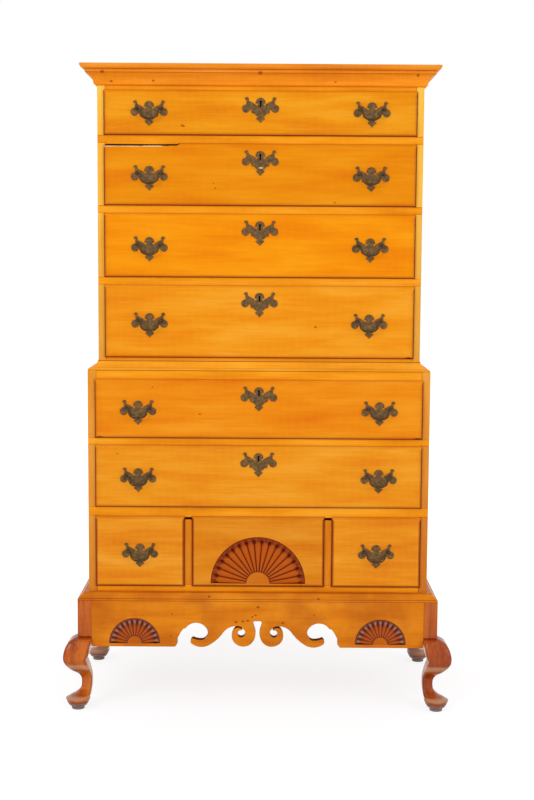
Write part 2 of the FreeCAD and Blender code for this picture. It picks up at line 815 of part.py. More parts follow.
def post_shape(grip):
    """A bail's post: a six-sided head with a cross bore for the bail's pin, a square shank and its nut.

    The origin is on the plate's back, in line with the post; grip is the thickness of the drawer front that
    the shank passes.
    """
    face = -S.plate_thickness.value
    axis = face - S.bail_stand_off.value
    nose = axis - S.post_nose.value
    radius = S.post_width.value * HALF
    head = six_sided(radius, Vector(0, nose, 0), Vector(0, face - nose, 0))
    bore_radius = S.bail_pin.value * HALF + S.pin_clearance.value
    side = S.overrun.value + radius
    bore = six_sided(bore_radius, Vector(-side, axis, 0), Vector(2 * side, 0, 0))
    end = grip + S.nut_thickness.value
    shank = square_tool(S.shank_width.value, face, end)
    nut = square_tool(S.nut_width.value, grip, end)
    return head.cut(bore).fuse([shank, nut]).removeSplitter()


def six_sided(radius, start, run):
    """A bar of six equal flats along run, which is one of the axes, with its flats at radius."""
    corner = radius / math.cos(math.pi / BAR_SIDES)
    across = Vector(1, 0, 0) if run.x == 0 else Vector(0, 1, 0)
    ring = []
    for index in range(BAR_SIDES):
        angle = 2 * math.pi * (index + HALF) / BAR_SIDES
        turned = across * math.cos(angle) + Vector(0, 0, 1) * math.sin(angle)
        ring.append(start + turned * corner)
    return Part.Face(Part.makePolygon(ring + ring[:1])).extrude(run)


def square_tool(width, start, end):
    """A square bar along the depth, from start to end."""
    half = width * HALF
    return Part.makeBox(width, end - start, width, Vector(-half, start, -half))


# half of a bail from the bend at the top of an arm to the end of its grip, as shares of half its width and
# of its drop, with the bar's thickness there as a share of the grip's; the bend's is measured on its slant
BAIL_SHARES = (
    (1.00, 0.00, 1.05),
    (1.00, -0.32, 0.80),
    (0.90, -0.70, 0.84),
    (0.45, -1.00, 0.96),
)


def bail_shape():
    """A hanging bail: a six-sided bar bent to a bow, with a pin at the top of each arm.

    The pins' axis runs through the origin, and their corners lie within the flats of the posts' bores.
    """
    arm = S.bail_width.value * HALF
    drop = S.bail_drop.value
    wire = S.bail_wire.value
    pin = S.bail_pin.value
    reach = (S.post_spread.value + S.post_width.value) * HALF - S.running_gap.value
    half = [(reach, 0, pin), (arm + wire * HALF, 0, pin)]
    half += [(u * arm, v * drop, w * wire) for u, v, w in BAIL_SHARES]
    stations = half + [(-x, z, thick) for x, z, thick in reversed(half)]
    runs = [Vector(b[0] - a[0], 0, b[1] - a[1]).normalize() for a, b in zip(stations, stations[1:])]
    sections = []
    for (x, z, thick), before, after in zip(stations, runs[:1] + runs, runs + runs[-1:]):
        along = (before + after).normalize()
        across = Vector(-along.z, 0, along.x)
        ring = []
        for corner in range(BAR_SIDES):
            angle = 2 * math.pi * corner / BAR_SIDES
            turned = across * math.cos(angle) + Vector(0, 1, 0) * math.sin(angle)
            ring.append(Vector(x, 0, z) + turned * thick * HALF)
        sections.append(ring)
    return faceted(sections, split=True)


def make_pull(name, x, dome, face, back):
    """One pull: plate, two posts and a bail; gives the fixed brasses and the shank holes."""
    grip = (back - face).value
    height = dome - S.post_drop
    brasses = []
    holes = []
    hole_width = (S.shank_width + S.shank_room * 2).value
    plate_holes = []
    plate = shaped(name + "_plate_blank", plate_shape(), x, face, dome)
    for side, place in (("left", x - S.post_spread / 2), ("right", x + S.post_spread / 2)):
        brasses.append(shaped(f"{name}_post_{side}", post_shape(grip), place, face, height))
        start = -S.plate_thickness.value - S.overrun.value
        tool = square_tool(hole_width, start, grip + S.overrun.value)
        holes.append(shaped(f"{name}_hole_{side}", tool, place, face, height))
        tool = square_tool(S.shank_width.value, start, S.overrun.value)
        plate_holes.append(shaped(f"{name}_plate_hole_{side}", tool, place, face, height))
    brasses.append(cut(name + "_plate", plate, plate_holes))
    axis = face - S.plate_thickness - S.bail_stand_off
    node(name + "_bail", [shaped(name + "_bail_bow", bail_shape(), x, axis, height)])
    return brasses, holes


def make_lock(row, face, block_back, block_top, dome):
    """Escutcheon, lock case and bolt of a long drawer; gives the brasses and what the front loses to them."""
    brasses = []
    plate = shaped(f"escutcheon_blank_{row}", plate_shape(), ZERO, face, dome)
    through = shaped(f"keyhole_plate_{row}", keyhole_tool(S.overrun.value), ZERO, face, dome)
    brasses.append(cut(f"escutcheon_{row}", plate, [through]))
    case_front_y = block_back - S.lock_thickness
    half = S.lock_width / 2
    case = board(
        f"lock_case_{row}",
        (-half, half), (case_front_y, block_back), (block_top - S.lock_height, block_top),
    )
    bolt_half = S.bolt_width / 2
    middle = bolt_middle(row)
    bolt_deep = S.bolt_thickness / 2
    bolt_top = block_top - S.running_gap
    slot = board(
        f"lock_slot_{row}",
        (-bolt_half - S.running_gap, bolt_half + S.running_gap),
        (middle - bolt_deep - S.running_gap, middle + bolt_deep + S.running_gap),
        (bolt_top - S.bolt_height - S.running_gap, block_top + S.overrun),
    )
    wood = case_front_y - face
    into_lock = keyhole_tool((wood + S.lock_thickness / 2).value)
    key_room = shaped(f"lock_keyhole_{row}", into_lock, ZERO, face, dome)
    brasses.append(cut(f"lock_{row}", case, [slot, key_room]))
    bolt = board(
        f"bolt_{row}",
        (-bolt_half, bolt_half), (middle - bolt_deep, middle + bolt_deep),
        (bolt_top - S.bolt_height, bolt_top),
    )
    node(f"drawer_{row}_lock_bolt", [bolt])
    recess = board(
        f"lock_recess_{row}",
        (-half, half), (case_front_y, block_back + S.overrun),
        (block_top - S.lock_height, block_top + S.overrun),
    )
    into_wood = keyhole_tool((wood + S.overrun).value)
    keyhole = shaped(f"front_keyhole_{row}", into_wood, ZERO, face, dome)
    return brasses, [recess, keyhole]


# Drawers

def make_drawer(row, name, left, right, pulls, locked):
    """One drawer: lipped front, box of sides, back and bottom, and its brasses.

    left and right are the ends of its opening in the case.
    """
    front = case_front(row)
    low = opening_low(row)
    high = opening_high(row)
    lip_back = front - S.running_gap
    face = lip_back - S.lip_thickness
    block_back = lip_back + S.front_depth
    block_x = (left + S.drawer_play, right - S.drawer_play)
    block_low = low + S.running_gap
    block_top = high - S.head_room
    lip = board(
        name + "_lip",
        (left - S.lip_overlap, right + S.lip_overlap), (face, lip_back),
        (lip_low[row], lip_low[row] + lip_height[row]),
    )
    doc.recompute()
    rounded = doc.addObject("Part::Fillet", name + "_moulded_lip")
    rounded.Base = lip
    on_face = lambda edge: all(abs(corner.Y - face.value) < S.running_gap.value for corner in edge.Vertexes)
    rounded.Edges = [
        (number, S.lip_round.value, S.lip_round.value)
        for number, edge in enumerate(lip.Shape.Edges, start=1) if on_face(edge)
    ]
    block = board(name + "_block", block_x, (lip_back, block_back), (block_low, block_top))
    whole = doc.addObject("Part::Fuse", name + "_front_blank")
    whole.Base = rounded
    whole.Tool = block
    tools = []
    brasses = []
    plate_middle = S.plate_height / 2 - S.plate_height * DOME_SHARE
    drop = S.top_pull_drop if row == 1 else S.pull_drop
    dome = lip_low[row] + lip_height[row] / 2 - drop + plate_middle
    for side, x in pulls:
        fixed, holes = make_pull(f"{name}_{side}".rstrip("_"), x, dome, face, block_back)
        brasses += fixed
        tools += holes
    if locked:
        escutcheon = lip_low[row] + lip_height[row] - S.escutcheon_drop + plate_middle
        fixed, cuts = make_lock(row, face, block_back, block_top, escutcheon)
        brasses += fixed
        tools += cuts
    if row == 2:
        end = left - S.lip_overlap
        tools.append(board(
            name + "_break",
            (end - S.overrun, end + S.broken_lip), (face - S.overrun, lip_back),
            (block_top, lip_low[row] + lip_height[row] + S.overrun),
        ))
    if name == "drawer_fan":
        carving = fan_carving(
            S.fan_radius.value, S.fan_hub.value, S.fan_rim.value, S.fan_depth.value, LARGE_FAN_PETALS
        )
        tools.append(shaped("large_fan", carving, ZERO, face, lip_low[row] + S.fan_lift))
    node(name + "_front", [cut(name + "_front_cut", whole, tools)])
    if brasses:
        node(name + "_brasses", brasses)

    box_back = back_board_front - S.drawer_back_room
    side_top = block_top - S.side_drop
    bottom_low = block_low + S.bottom_lift
    inner = (block_x[0] + S.drawer_side, block_x[1] - S.drawer_side)
    box = []
    for label, x in (("left", (block_x[0], inner[0])), ("right", (inner[1], block_x[1]))):
        box.append(board(f"{name}_side_{label}", x, (block_back, box_back), (block_low, side_top)))
    box.append(board(
        name + "_bottom", inner, (block_back, box_back), (bottom_low, bottom_low + S.drawer_bottom)
    ))
    box.append(board(
        name + "_back", inner, (box_back - S.drawer_side, box_back), (bottom_low + S.drawer_bottom, side_top)
    ))
    node(name + "_box", box)


def make_drawers():
    """Six long drawers with two pulls and a lock, two small ones with one pull, and the one with the fan."""
    for row in LONG_ROWS:
        half = opening_half(row)
        place = half - (S.pull_inset_upper if row in UPPER_ROWS else S.pull_inset_lower)
        pulls = (("left", -place), ("right", place))
        make_drawer(row, f"drawer_{row}", -half, half, pulls, True)
    near = S.fan_drawer_width / 2 - S.lip_overlap
    far = near + S.small_gap + S.lip_overlap * 2
    outside = opening_half(7)
    middle = (outside + far) / 2
    make_drawer(7, "drawer_fan", -near, near, (), False)
    make_drawer(7, "drawer_small_left", -outside, -far, (("", -middle),), False)
    make_drawer(7, "drawer_small_right", far, outside, (("", middle),), False)


make_legs()
make_frame()
make_cases()
make_drawers()
doc.recompute()

for thing in doc.Objects:
    if "Invalid" in thing.State or "Error" in thing.State:
        raise RuntimeError(f"{thing.Name} failed: {thing.State}")
for name, thing in nodes.items():
    if thing.Shape.isNull() or not thing.Shape.isValid():
        raise RuntimeError(f"{name} has no valid shape")

os.makedirs("parts", exist_ok=True)
for name, thing in nodes.items():
    thing.Shape.exportStep(f"parts/{name}.step")
print(len(nodes), "nodes")
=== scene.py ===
"""Looks of a maple chest-on-chest on a frame with bent legs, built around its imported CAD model.

Shapes are worked out in millimetres and put into meshes in metres. X runs to the right, Y to the back, Z up.
"""
import json
import math
from functools import partial
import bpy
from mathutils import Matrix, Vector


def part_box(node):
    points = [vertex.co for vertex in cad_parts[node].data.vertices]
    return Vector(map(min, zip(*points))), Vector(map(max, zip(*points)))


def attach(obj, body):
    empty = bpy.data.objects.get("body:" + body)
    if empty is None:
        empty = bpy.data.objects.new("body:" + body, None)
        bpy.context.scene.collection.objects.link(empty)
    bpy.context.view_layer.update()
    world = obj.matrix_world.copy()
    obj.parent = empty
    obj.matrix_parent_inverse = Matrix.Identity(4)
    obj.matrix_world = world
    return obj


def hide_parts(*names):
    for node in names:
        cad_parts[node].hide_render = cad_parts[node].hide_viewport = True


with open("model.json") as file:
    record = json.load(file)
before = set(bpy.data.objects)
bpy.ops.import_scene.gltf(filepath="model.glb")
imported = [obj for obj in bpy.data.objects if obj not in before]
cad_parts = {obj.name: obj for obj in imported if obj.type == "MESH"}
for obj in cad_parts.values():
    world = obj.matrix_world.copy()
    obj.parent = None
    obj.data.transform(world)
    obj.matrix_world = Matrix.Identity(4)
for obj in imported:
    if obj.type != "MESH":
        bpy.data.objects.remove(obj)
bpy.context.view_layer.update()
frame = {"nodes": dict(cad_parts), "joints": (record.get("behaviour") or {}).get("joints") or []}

from types import SimpleNamespace

import bmesh
import bpy
import numpy as np
from mathutils import Matrix, Vector

MM = 0.001
SIDES = (("left", -1), ("right", 1))
LONG_DRAWERS = [f"drawer_{row}" for row in range(1, 7)]
scene = bpy.context.scene


def box_mm(name):
    """Lowest and highest corner of a CAD node, in millimetres."""
    low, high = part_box(name)
    return np.array(low) / MM, np.array(high) / MM


# Lines and surfaces

def flowing(points, count):
    """A line through every point that turns smoothly.

    Each span is the cubic whose slope at a point is half the step between that point's neighbours.
    """
    points = np.asarray(points, float)
    padded = np.vstack([2 * points[0] - points[1], points, 2 * points[-1] - points[-2]])
    place = np.linspace(0, len(points) - 1, count)
    span = np.minimum(place.astype(int), len(points) - 2)
    part = (place - span)[:, None]
    a, b, c, d = (padded[span + step] for step in range(4))
    bend = 2 * a - 5 * b + 4 * c - d
    return 0.5 * (2 * b + (c - a) * part + bend * part**2 + (3 * b - a - 3 * c + d) * part**3)


def arc(start, through, end, count):
    """Points on the circle through three points, from after the start to the end.

    The circle's centre is equally far from all three; the angle runs the way that passes the middle point.
    """
    a, b, c = (complex(*point) for point in (start, through, end))
    turn = (c - a) / (b - a)
    centre = (b - a) * (turn - abs(turn) ** 2) / (turn - turn.conjugate()) + a
    sweep = np.angle((c - centre) / (b - centre)) + np.angle((b - centre) / (a - centre))
    ring = centre + (a - centre) * np.exp(1j * np.linspace(0, sweep, count + 1)[1:])
    return np.column_stack([ring.real, ring.imag])


# a straight run is divided closely near its ends, where the darkening of dirt and painted shade fades
STRAIGHT_STEPS = np.array([0.06, 0.2, 0.5, 0.8, 0.94, 1.0])


def drawn(start, steps, count=10):
    """An outline from steps: one point is a straight run to it, two are an arc through the first."""
    line = [np.array([start], float)]
    for step in steps:
        here = line[-1][-1]
        if len(step) == 1:
            line.append(here + (np.array(step[0]) - here) * STRAIGHT_STEPS[:, None])
        else:
            line.append(arc(here, *step, count))
    return np.vstack(line)


def ease(value, low, high):
    """0 below low, 1 above high, and a smooth rise between them."""
    part = np.clip((value - low) / (high - low), 0, 1)
    return part * part * (3 - 2 * part)


def within(value, low, full, fade, high):
    """A smooth rise from low to full and a smooth fall from fade to high, 0 outside them."""
    return ease(value, low, full) * (1 - ease(value, fade, high))


def near(value, place, full, gone):
    """1 up to one distance from a place, and a smooth fall to 0 at a larger one."""
    return 1 - ease(np.abs(value - place), full, gone)


def shell(rings):
    """A closed surface: rings of points joined in order, with the first and the last one filled."""
    rings = np.asarray(rings, float)
    index = np.arange(rings.shape[0] * rings.shape[1]).reshape(rings.shape[:2])
    after = np.roll(index, -1, axis=1)
    quads = np.stack([index[:-1], after[:-1], after[1:], index[1:]], -1).reshape(-1, 4)
    return rings.reshape(-1, 3), quads.tolist() + [index[0][::-1].tolist(), index[-1].tolist()]


def softened(low, high, soft=0.8):
    """A squared board with rounded edges: a rectangle with round corners, drawn in towards both ends."""
    low, high = np.asarray(low, float), np.asarray(high, float)
    corner = np.repeat(np.arange(4), 4)
    bend = np.linspace(0, math.pi / 2, 4)
    angle = np.tile(bend, 4) + corner * math.pi / 2
    side_x = np.where((corner == 0) | (corner == 3), 1, -1)
    side_y = np.where(corner < 2, 1, -1)
    inset = soft * (1 - np.sin(bend))
    heights = np.concatenate([low[2] + inset[::-1], high[2] - inset])
    reach = soft - np.concatenate([inset, inset[::-1]])[:, None]
    middle, half = (low + high) / 2, (high - low) / 2
    x = middle[0] + side_x * (half[0] - soft) + reach * np.cos(angle)
    y = middle[1] + side_y * (half[1] - soft) + reach * np.sin(angle)
    return shell(np.stack([x, y, np.broadcast_to(heights[:, None], x.shape)], -1))


def sawn(outlines, front, back, soft):
    """A board sawn to an outline: a filled flat curve given a thickness and an eased edge.

    Gives the board upright between two depths, and for its points 1 on the sawn edge or 0 on the flat faces.
    """
    thickness = back - front
    curve = bpy.data.curves.new("outline", "CURVE")
    curve.dimensions = "2D"
    curve.fill_mode = "BOTH"
    curve.extrude = thickness / 2 - soft
    curve.bevel_depth = soft
    curve.bevel_resolution = 0
    curve.offset = -soft
    for outline in outlines:
        spline = curve.splines.new("POLY")
        spline.points.add(len(outline) - 1)
        flat = np.column_stack([outline, np.zeros(len(outline)), np.ones(len(outline))])
        spline.points.foreach_set("co", flat.ravel())
        spline.use_cyclic_u = True
    holder = bpy.data.objects.new("outline", curve)
    mesh = bpy.data.meshes.new_from_object(holder)
    points = np.empty(len(mesh.vertices) * 3)
    mesh.vertices.foreach_get("co", points)
    across, up, through = points.reshape(-1, 3).T
    faces = [list(face.vertices) for face in mesh.polygons]
    bpy.data.objects.remove(holder)
    bpy.data.curves.remove(curve)
    bpy.data.meshes.remove(mesh)
    stood = np.column_stack([across, (front + back) / 2 - through, up])
    return (stood, faces), (np.abs(through) < thickness / 2 - soft / 2).astype(float)


def bar(line, columns):
    """A round bar along a line in the X-Z plane; the line's points are place across, height and radius."""
    path, radius = line[:, :2], line[:, 2:]
    along = np.gradient(path, axis=0)
    along /= np.linalg.norm(along, axis=1, keepdims=True)
    angle = np.linspace(0, 2 * math.pi, columns, endpoint=False)
    out = radius * np.cos(angle)
    x = path[:, :1] - along[:, 1:] * out
    z = path[:, 1:] + along[:, :1] * out
    return shell(np.stack([x, radius * np.sin(angle), z], -1))


def moved(part, place):
    """The same part at another place."""
    return part[0] + np.array(place), part[1]


# points closer than this, in metres, are one
MERGED = 0.00001


def piece(name, parts, material, body, replaced=(), crease=32, values=None):
    """Joins parts in one mesh at the origin, faces outwards and softly shaded, that rides on a body.

    values are the mesh's own attributes: for each part its numbers, or one number for the whole part.
    """
    points = np.concatenate([part[0] for part in parts]) * MM
    starts = np.cumsum([0] + [len(part[0]) for part in parts[:-1]]).tolist()
    faces = [[corner + start for corner in face] for part, start in zip(parts, starts) for face in part[1]]
    mesh = bpy.data.meshes.new(name)
    mesh.from_pydata(points.tolist(), [], faces)
    for label, shares in (values or {}).items():
        numbers = [np.broadcast_to(np.ravel(share), len(part[0])) for share, part in zip(shares, parts)]
        attribute = mesh.attributes.new(label, "FLOAT", "POINT")
        attribute.data.foreach_set("value", np.concatenate(numbers).astype(np.float32))
    work = bmesh.new()
    work.from_mesh(mesh)
    bmesh.ops.remove_doubles(work, verts=work.verts, dist=MERGED)
    bmesh.ops.dissolve_degenerate(work, edges=work.edges, dist=MERGED)
    bmesh.ops.recalc_face_normals(work, faces=work.faces)
    work.to_mesh(mesh)
    work.free()
    mesh.shade_smooth()
    mesh.set_sharp_from_angle(angle=math.radians(crease))
    mesh.materials.append(material)
    thing = bpy.data.objects.new(name, mesh)
    scene.collection.objects.link(thing)
    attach(thing, body)
    if replaced:
        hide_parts(*replaced)
    return thing


# Materials

def paint(code):
    """A colour written as sRGB hex, as linear light with full cover."""
    value = np.array([int(code[place:place + 2], 16) for place in (1, 3, 5)]) / 255
    linear = np.where(value <= 0.04045, value / 12.92, ((value + 0.055) / 1.055) ** 2.4)
    return (*linear.tolist(), 1.0)


def feed(node, inputs):
    """Sets a node's inputs to values, or links them to sockets or to other nodes' first output in use."""
    for name, value in inputs.items():
        if isinstance(value, bpy.types.Node):
            value = next(output for output in value.outputs if output.enabled)
        if isinstance(value, bpy.types.NodeSocket):
            node.id_data.links.new(value, node.inputs[name])
        else:
            node.inputs[name].default_value = value


def add_to(tree, kind, inputs=None, stops=None, **settings):
    """Adds one node to a tree: settings are its own values, inputs are values or what feeds them."""
    made = tree.nodes.new("ShaderNode" + kind)
    for name, value in settings.items():
        setattr(made, name, value)
    feed(made, inputs or {})
    if stops:
        while len(made.color_ramp.elements) < len(stops):
            made.color_ramp.elements.new(0.5)
        for element, (place, code) in zip(made.color_ramp.elements, stops):
            element.position = place
            element.color = paint(code)
    return made


def new_material(name):
    """An empty node material: gives it, what adds nodes to it, its shader and the place on a piece."""
    material = bpy.data.materials.new(name)
    material.use_nodes = True
    tree = material.node_tree
    add = partial(add_to, tree)
    return material, add, tree.nodes["Principled BSDF"], add("TexCoord").outputs["Object"]


def lay_over(add, colour, code, value, none, full, most):
    """Lays a colour over another: nothing of it where a value is none, as much as most where it is full."""
    amount = add("MapRange", {"Value": value, "From Min": none, "From Max": full, "To Max": most})
    return add("Mix", {0: amount, 6: colour, 7: paint(code)}, data_type="RGBA")


def spots(add, where, colour, code, places, flatten, gone, most):
    """Lays a colour on spots seen from the front: place across, height and radius in millimetres.

    A spot is full within half its radius and gone at so many radii. flatten is its width over its height.
    """
    for across, height, radius in places:
        off = add("VectorMath", {0: where, 1: (across * MM, 0, height * MM)}, operation="SUBTRACT")
        flat = add("VectorMath", {0: off, 1: (1, 0, flatten)}, operation="MULTIPLY")
        far = add("VectorMath", {0: flat}, operation="LENGTH")
        colour = lay_over(add, colour, code, far, radius * MM * gone, radius * MM / 2, most)
    return colour


def along_grain(axis, long, wide):
    """Pattern scale per axis for marks so many millimetres long along the grain and so wide across it."""
    scale = [1 / (wide * MM)] * 3
    scale["xyz".index(axis)] = 1 / (long * MM)
    return scale


DIRT_AND_SHADE = "#7e2414"
# what a piece's own attributes lay over its wood, in this order: edge is dirt and painted shade,
# the near-black layer is painted shadow in gaps and hollows, the cream layer bare wood and painted highlight
WOOD_LAYERS = (
    ("stain", "#b24a0e"), ("edge", DIRT_AND_SHADE), ("dust", "#958e85"), ("painted_shadow", "#140b08"), ("bare_wood_and_highlight", "#f3d9a8"))
# width of a curl in millimetres, and a wave texture's scale for bands one unit wide
CURL, WAVE_UNIT = 24, 0.314


def maple(label, pale, amber, deep, axis, gloss=0.34, shine=0.05, coat=0.02, clouds=0.0, marks=()):
    """Maple, planed and shellacked: soft amber blotches along the grain, fine darker streaks, a faint curl
    across them, and darkening in quirks and along edges, partly old dirt and partly painted shade, with
    near-black painted shadow in gaps and painted highlights. The shellac gives a low soft gloss.

    clouds is how strongly patches of old varnish have gone red; marks are knots and nail holes.
    """
    material, add, shader, where = new_material(f"shellacked_maple_{label}")
    broad = add("Mapping", {"Vector": where, "Scale": along_grain(axis, 260, 46)})
    blotch = add("TexNoise", {"Vector": broad, "Scale": 1.0, "Detail": 3.0})
    colour = add("ValToRGB", {"Fac": blotch}, stops=((0.25, deep), (0.50, amber), (0.75, pale)))
    fibre = add("Mapping", {"Vector": where, "Scale": along_grain(axis, 120, 6)})
    streak = add("TexNoise", {"Vector": fibre, "Scale": 1.0, "Detail": 6.0, "Roughness": 0.66})
    colour = lay_over(add, colour, deep, streak, 0.50, 0.74, 0.55)
    colour = lay_over(add, colour, pale, streak, 0.48, 0.28, 0.45)
    # curl is seen as faint bands across the grain
    curl = add("TexWave", {"Vector": where, "Scale": WAVE_UNIT / (CURL * MM), "Distortion": 9.0,
                           "Detail": 3.0, "Detail Scale": 0.6}, bands_direction=axis.upper())
    colour = lay_over(add, colour, pale, curl.outputs["Fac"], 0.0, 1.0, 0.06)
    if clouds:
        varnish = add("TexNoise", {"Vector": where, "Scale": 1 / (110 * MM), "Detail": 5.0})
        colour = lay_over(add, colour, "#a84a12", varnish, 0.42, 0.62, clouds)
    colour = spots(add, where, colour, DIRT_AND_SHADE, marks, 1.4, 1.5, 0.75)
    for name, code in WOOD_LAYERS:
        amount = add("Attribute", attribute_name=name).outputs["Fac"]
        colour = add("Mix", {0: amount, 6: colour, 7: paint(code)}, data_type="RGBA")
    rough = add("MapRange", {"Value": streak, "From Min": 0.3, "From Max": 0.7,
                             "To Min": gloss - 0.06, "To Max": gloss + 0.08})
    bump = add("Bump", {"Height": streak, "Strength": 0.10, "Distance": 0.0004})
    feed(shader, {"Base Color": colour, "Roughness": rough, "Normal": bump, "IOR": 1.5,
                  "Specular IOR Level": shine, "Coat Weight": coat, "Coat Roughness": 0.14})
    return material


def pine(name, axis):
    """Pine, planed and left bare: straight straw and brown growth lines, dull, a little dusty."""
    material, add, shader, where = new_material(name)
    lines, level = (
        add("Mapping", {"Vector": where, "Scale": along_grain(way, 420, 9)}) for way in (axis, "x"))
    # a board that faces the front or the back has its grain running across
    facing = add("SeparateXYZ", {0: add("TexCoord").outputs["Normal"]}).outputs["Y"]
    straight = add("Math", {0: facing}, operation="ABSOLUTE")
    flat_on = add("Math", {0: straight, 1: 0.7}, operation="GREATER_THAN")
    grain = add("Mix", {0: flat_on, 4: lines, 5: level}, data_type="VECTOR")
    growth = add("TexNoise", {"Vector": grain, "Scale": 1.0, "Detail": 5.0})
    colour = add("ValToRGB", {"Fac": growth}, stops=((0.30, "#9a642c"), (0.50, "#c08a48"), (0.66, "#d4a762")))
    dust = add("TexNoise", {"Vector": where, "Scale": 1 / (180 * MM), "Detail": 2.0})
    colour = lay_over(add, colour, "#7d5f40", dust, 0.4, 0.75, 0.35)
    bump = add("Bump", {"Height": growth, "Strength": 0.2, "Distance": 0.0005})
    feed(shader, {"Base Color": colour, "Normal": bump, "Roughness": 0.75, "Specular IOR Level": 0.3})
    return material


def old_metal(name, dark, body, light, metallic, rough, rubs=()):
    """Cast metal gone dull with age: mottled patches some 8 mm wide and finer specks, rubbed brighter here
    and there, so that it shines softly and unevenly. rubs are places worn back to bright metal.
    """
    material, add, shader, where = new_material(name)
    patch = add("TexNoise", {"Vector": where, "Scale": 1 / (8 * MM), "Detail": 5.0, "Roughness": 0.6})
    colour = add("ValToRGB", {"Fac": patch}, stops=((0.32, dark), (0.52, body), (0.72, light)))
    colour = spots(add, where, colour, "#e3c98a", rubs, 3, 1.0, 0.8)
    worn = add("MapRange", {"Value": patch, "From Min": 0.3, "From Max": 0.7,
                            "To Min": rough + 0.12, "To Max": rough - 0.08})
    bump = add("Bump", {"Height": patch, "Strength": 0.15, "Distance": 0.0004})
    feed(shader, {"Base Color": colour, "Roughness": worn, "Normal": bump, "Metallic": metallic})
    return material


# a front's pale, amber and deep tone, and its knots and nail holes: place across, height, radius
FRONTS = {
    "drawer_1": ("#efa426", "#e7910e", "#dd7a08", ((-219, 1659, 4), (-214, 1657, 3))),
    "drawer_2": ("#ec9815", "#e48705", "#dd7304", ((-131, 1500, 2), (-126, 1486, 2.6), (210, 1448, 2.8))),
    "drawer_3": ("#f69f12", "#f08e03", "#e77a03", ()),
    "drawer_4": ("#f3a62f", "#ec9312", "#e57d0b", ((159, 1098, 3.6),)),
    "drawer_5": ("#f19c24", "#ea8a0e", "#e27509", ((-301, 927, 2.2), (-167, 851, 3))),
    "drawer_6": ("#f2a635", "#e99318", "#e17b0f", ((-401, 737, 2.2),)),
    "bottom": ("#f0a233", "#e68e18", "#da750e", ()),
    "fan": ("#e6972c", "#db8213", "#cf6a0b", ((-123, 357, 3), (123, 357, 3))),
}
CORNICE_SPECKS = (
    (-439, 1803, 5), (-416, 1779, 4), (-299, 1781, 3.6), (-1, 1802, 5.5), (208, 1780, 3), (436, 1798, 4))
APRON_SPECKS = (
    (1, 299, 4.5), (-15, 271, 3), (-6, 275, 3.4), (-28, 259, 4), (-42, 257, 4), (-62, 255, 4), (72, 253, 4),
    (162, 277, 2.4), (-245, 277, 2.4), (-249, 213, 2.6), (-139, 327, 3.6), (174, 323, 3.6))
CORNICE_TONES = ("#ffa636", "#f6911a", "#e17e12")

fronts = {row: maple(row, *tones, "x", marks=marks) for row, (*tones, marks) in FRONTS.items()}
stile_maple = {
    "upper": maple("upper_stiles", "#ffd866", "#ffc244", "#f4a82d", "z"),
    "lower": maple("lower_stiles", "#f8b04a", "#ed9e31", "#d48321", "z"),
}
side_maple = maple("case_sides", "#eb9f34", "#dd8a1e", "#c67112", "z")
divider_maple = maple("dividers", "#ec9628", "#e08012", "#ca680b", "z")
rail_maple = maple("rails", "#fbac2e", "#f39812", "#dd7f0a", "x")
cornice_maple = maple("cornice", *CORNICE_TONES, "x", marks=CORNICE_SPECKS)
waist_maple = maple("waist_moulding", "#ffbe40", "#fda722", "#ea9219", "x")
return_maple = maple("moulding_returns", *CORNICE_TONES, "y")
apron_maple = maple("apron", "#e99224", "#e08214", "#cb6c0e", "x", gloss=0.3, clouds=0.42, marks=APRON_SPECKS)
leg_maple = maple("legs", "#e2841f", "#c45e12", "#8a340b", "z", gloss=0.2, shine=0.16, coat=0.2)
frame_side_maple = maple("frame_sides", "#d98428", "#c96f1a", "#a95713", "y")
pine_deep = pine("planed_pine_running_back", "y")
pine_level = pine("planed_pine_level", "x")
brass = old_metal("cast_brass_gone_brown", "#46331a", "#684b25", "#826132", 0.55, 0.46, ((2, 1543, 8),))
# a darker copy of the brass for the posts and bails: painted shade
shaded_brass = old_metal("cast_brass_darkened_as_painted_shade", "#2e2012", "#43301a", "#624727", 0.55, 0.4)
iron = old_metal("filed_iron_dull", "#2a2826", "#3d3a37", "#55504b", 0.8, 0.5)

for name, thing in frame["nodes"].items():
    wood = pine_deep if name.endswith("_box") or name == "drawer_runners" else pine_level
    thing.data.materials.clear()
    thing.data.materials.append(iron if name.endswith("_lock_bolt") else wood)


# Carved fans

# a groove ends in a pit, so far past the petals' ends, so long and so wide; wedge is how wedge-like it is;
# strip is how far its rings reach below the base; the last two are points to a petal and below the base
LARGE_FAN = SimpleNamespace(
    radius=135.0, hub=34.0, rim=15.0, deep=6.0, petals=17, power=2.2, pit_out=1.5, pit_long=6.8, pit_wide=5.6,
    line_wide=2.6, wedge=0.0, strip=2.3, fine=16, below=45)
SMALL_FAN = SimpleNamespace(
    radius=72.0, hub=21.0, rim=8.0, deep=4.5, petals=13, power=1.6, pit_out=-5.0, pit_long=9.0, pit_wide=3.6,
    line_wide=1.8, wedge=1.0, strip=0.0, fine=12, below=13)
# depth of a petal's crest, and the height of both fans' base above the edge below it
CREST, FAN_LIFT = 0.8, 10.0


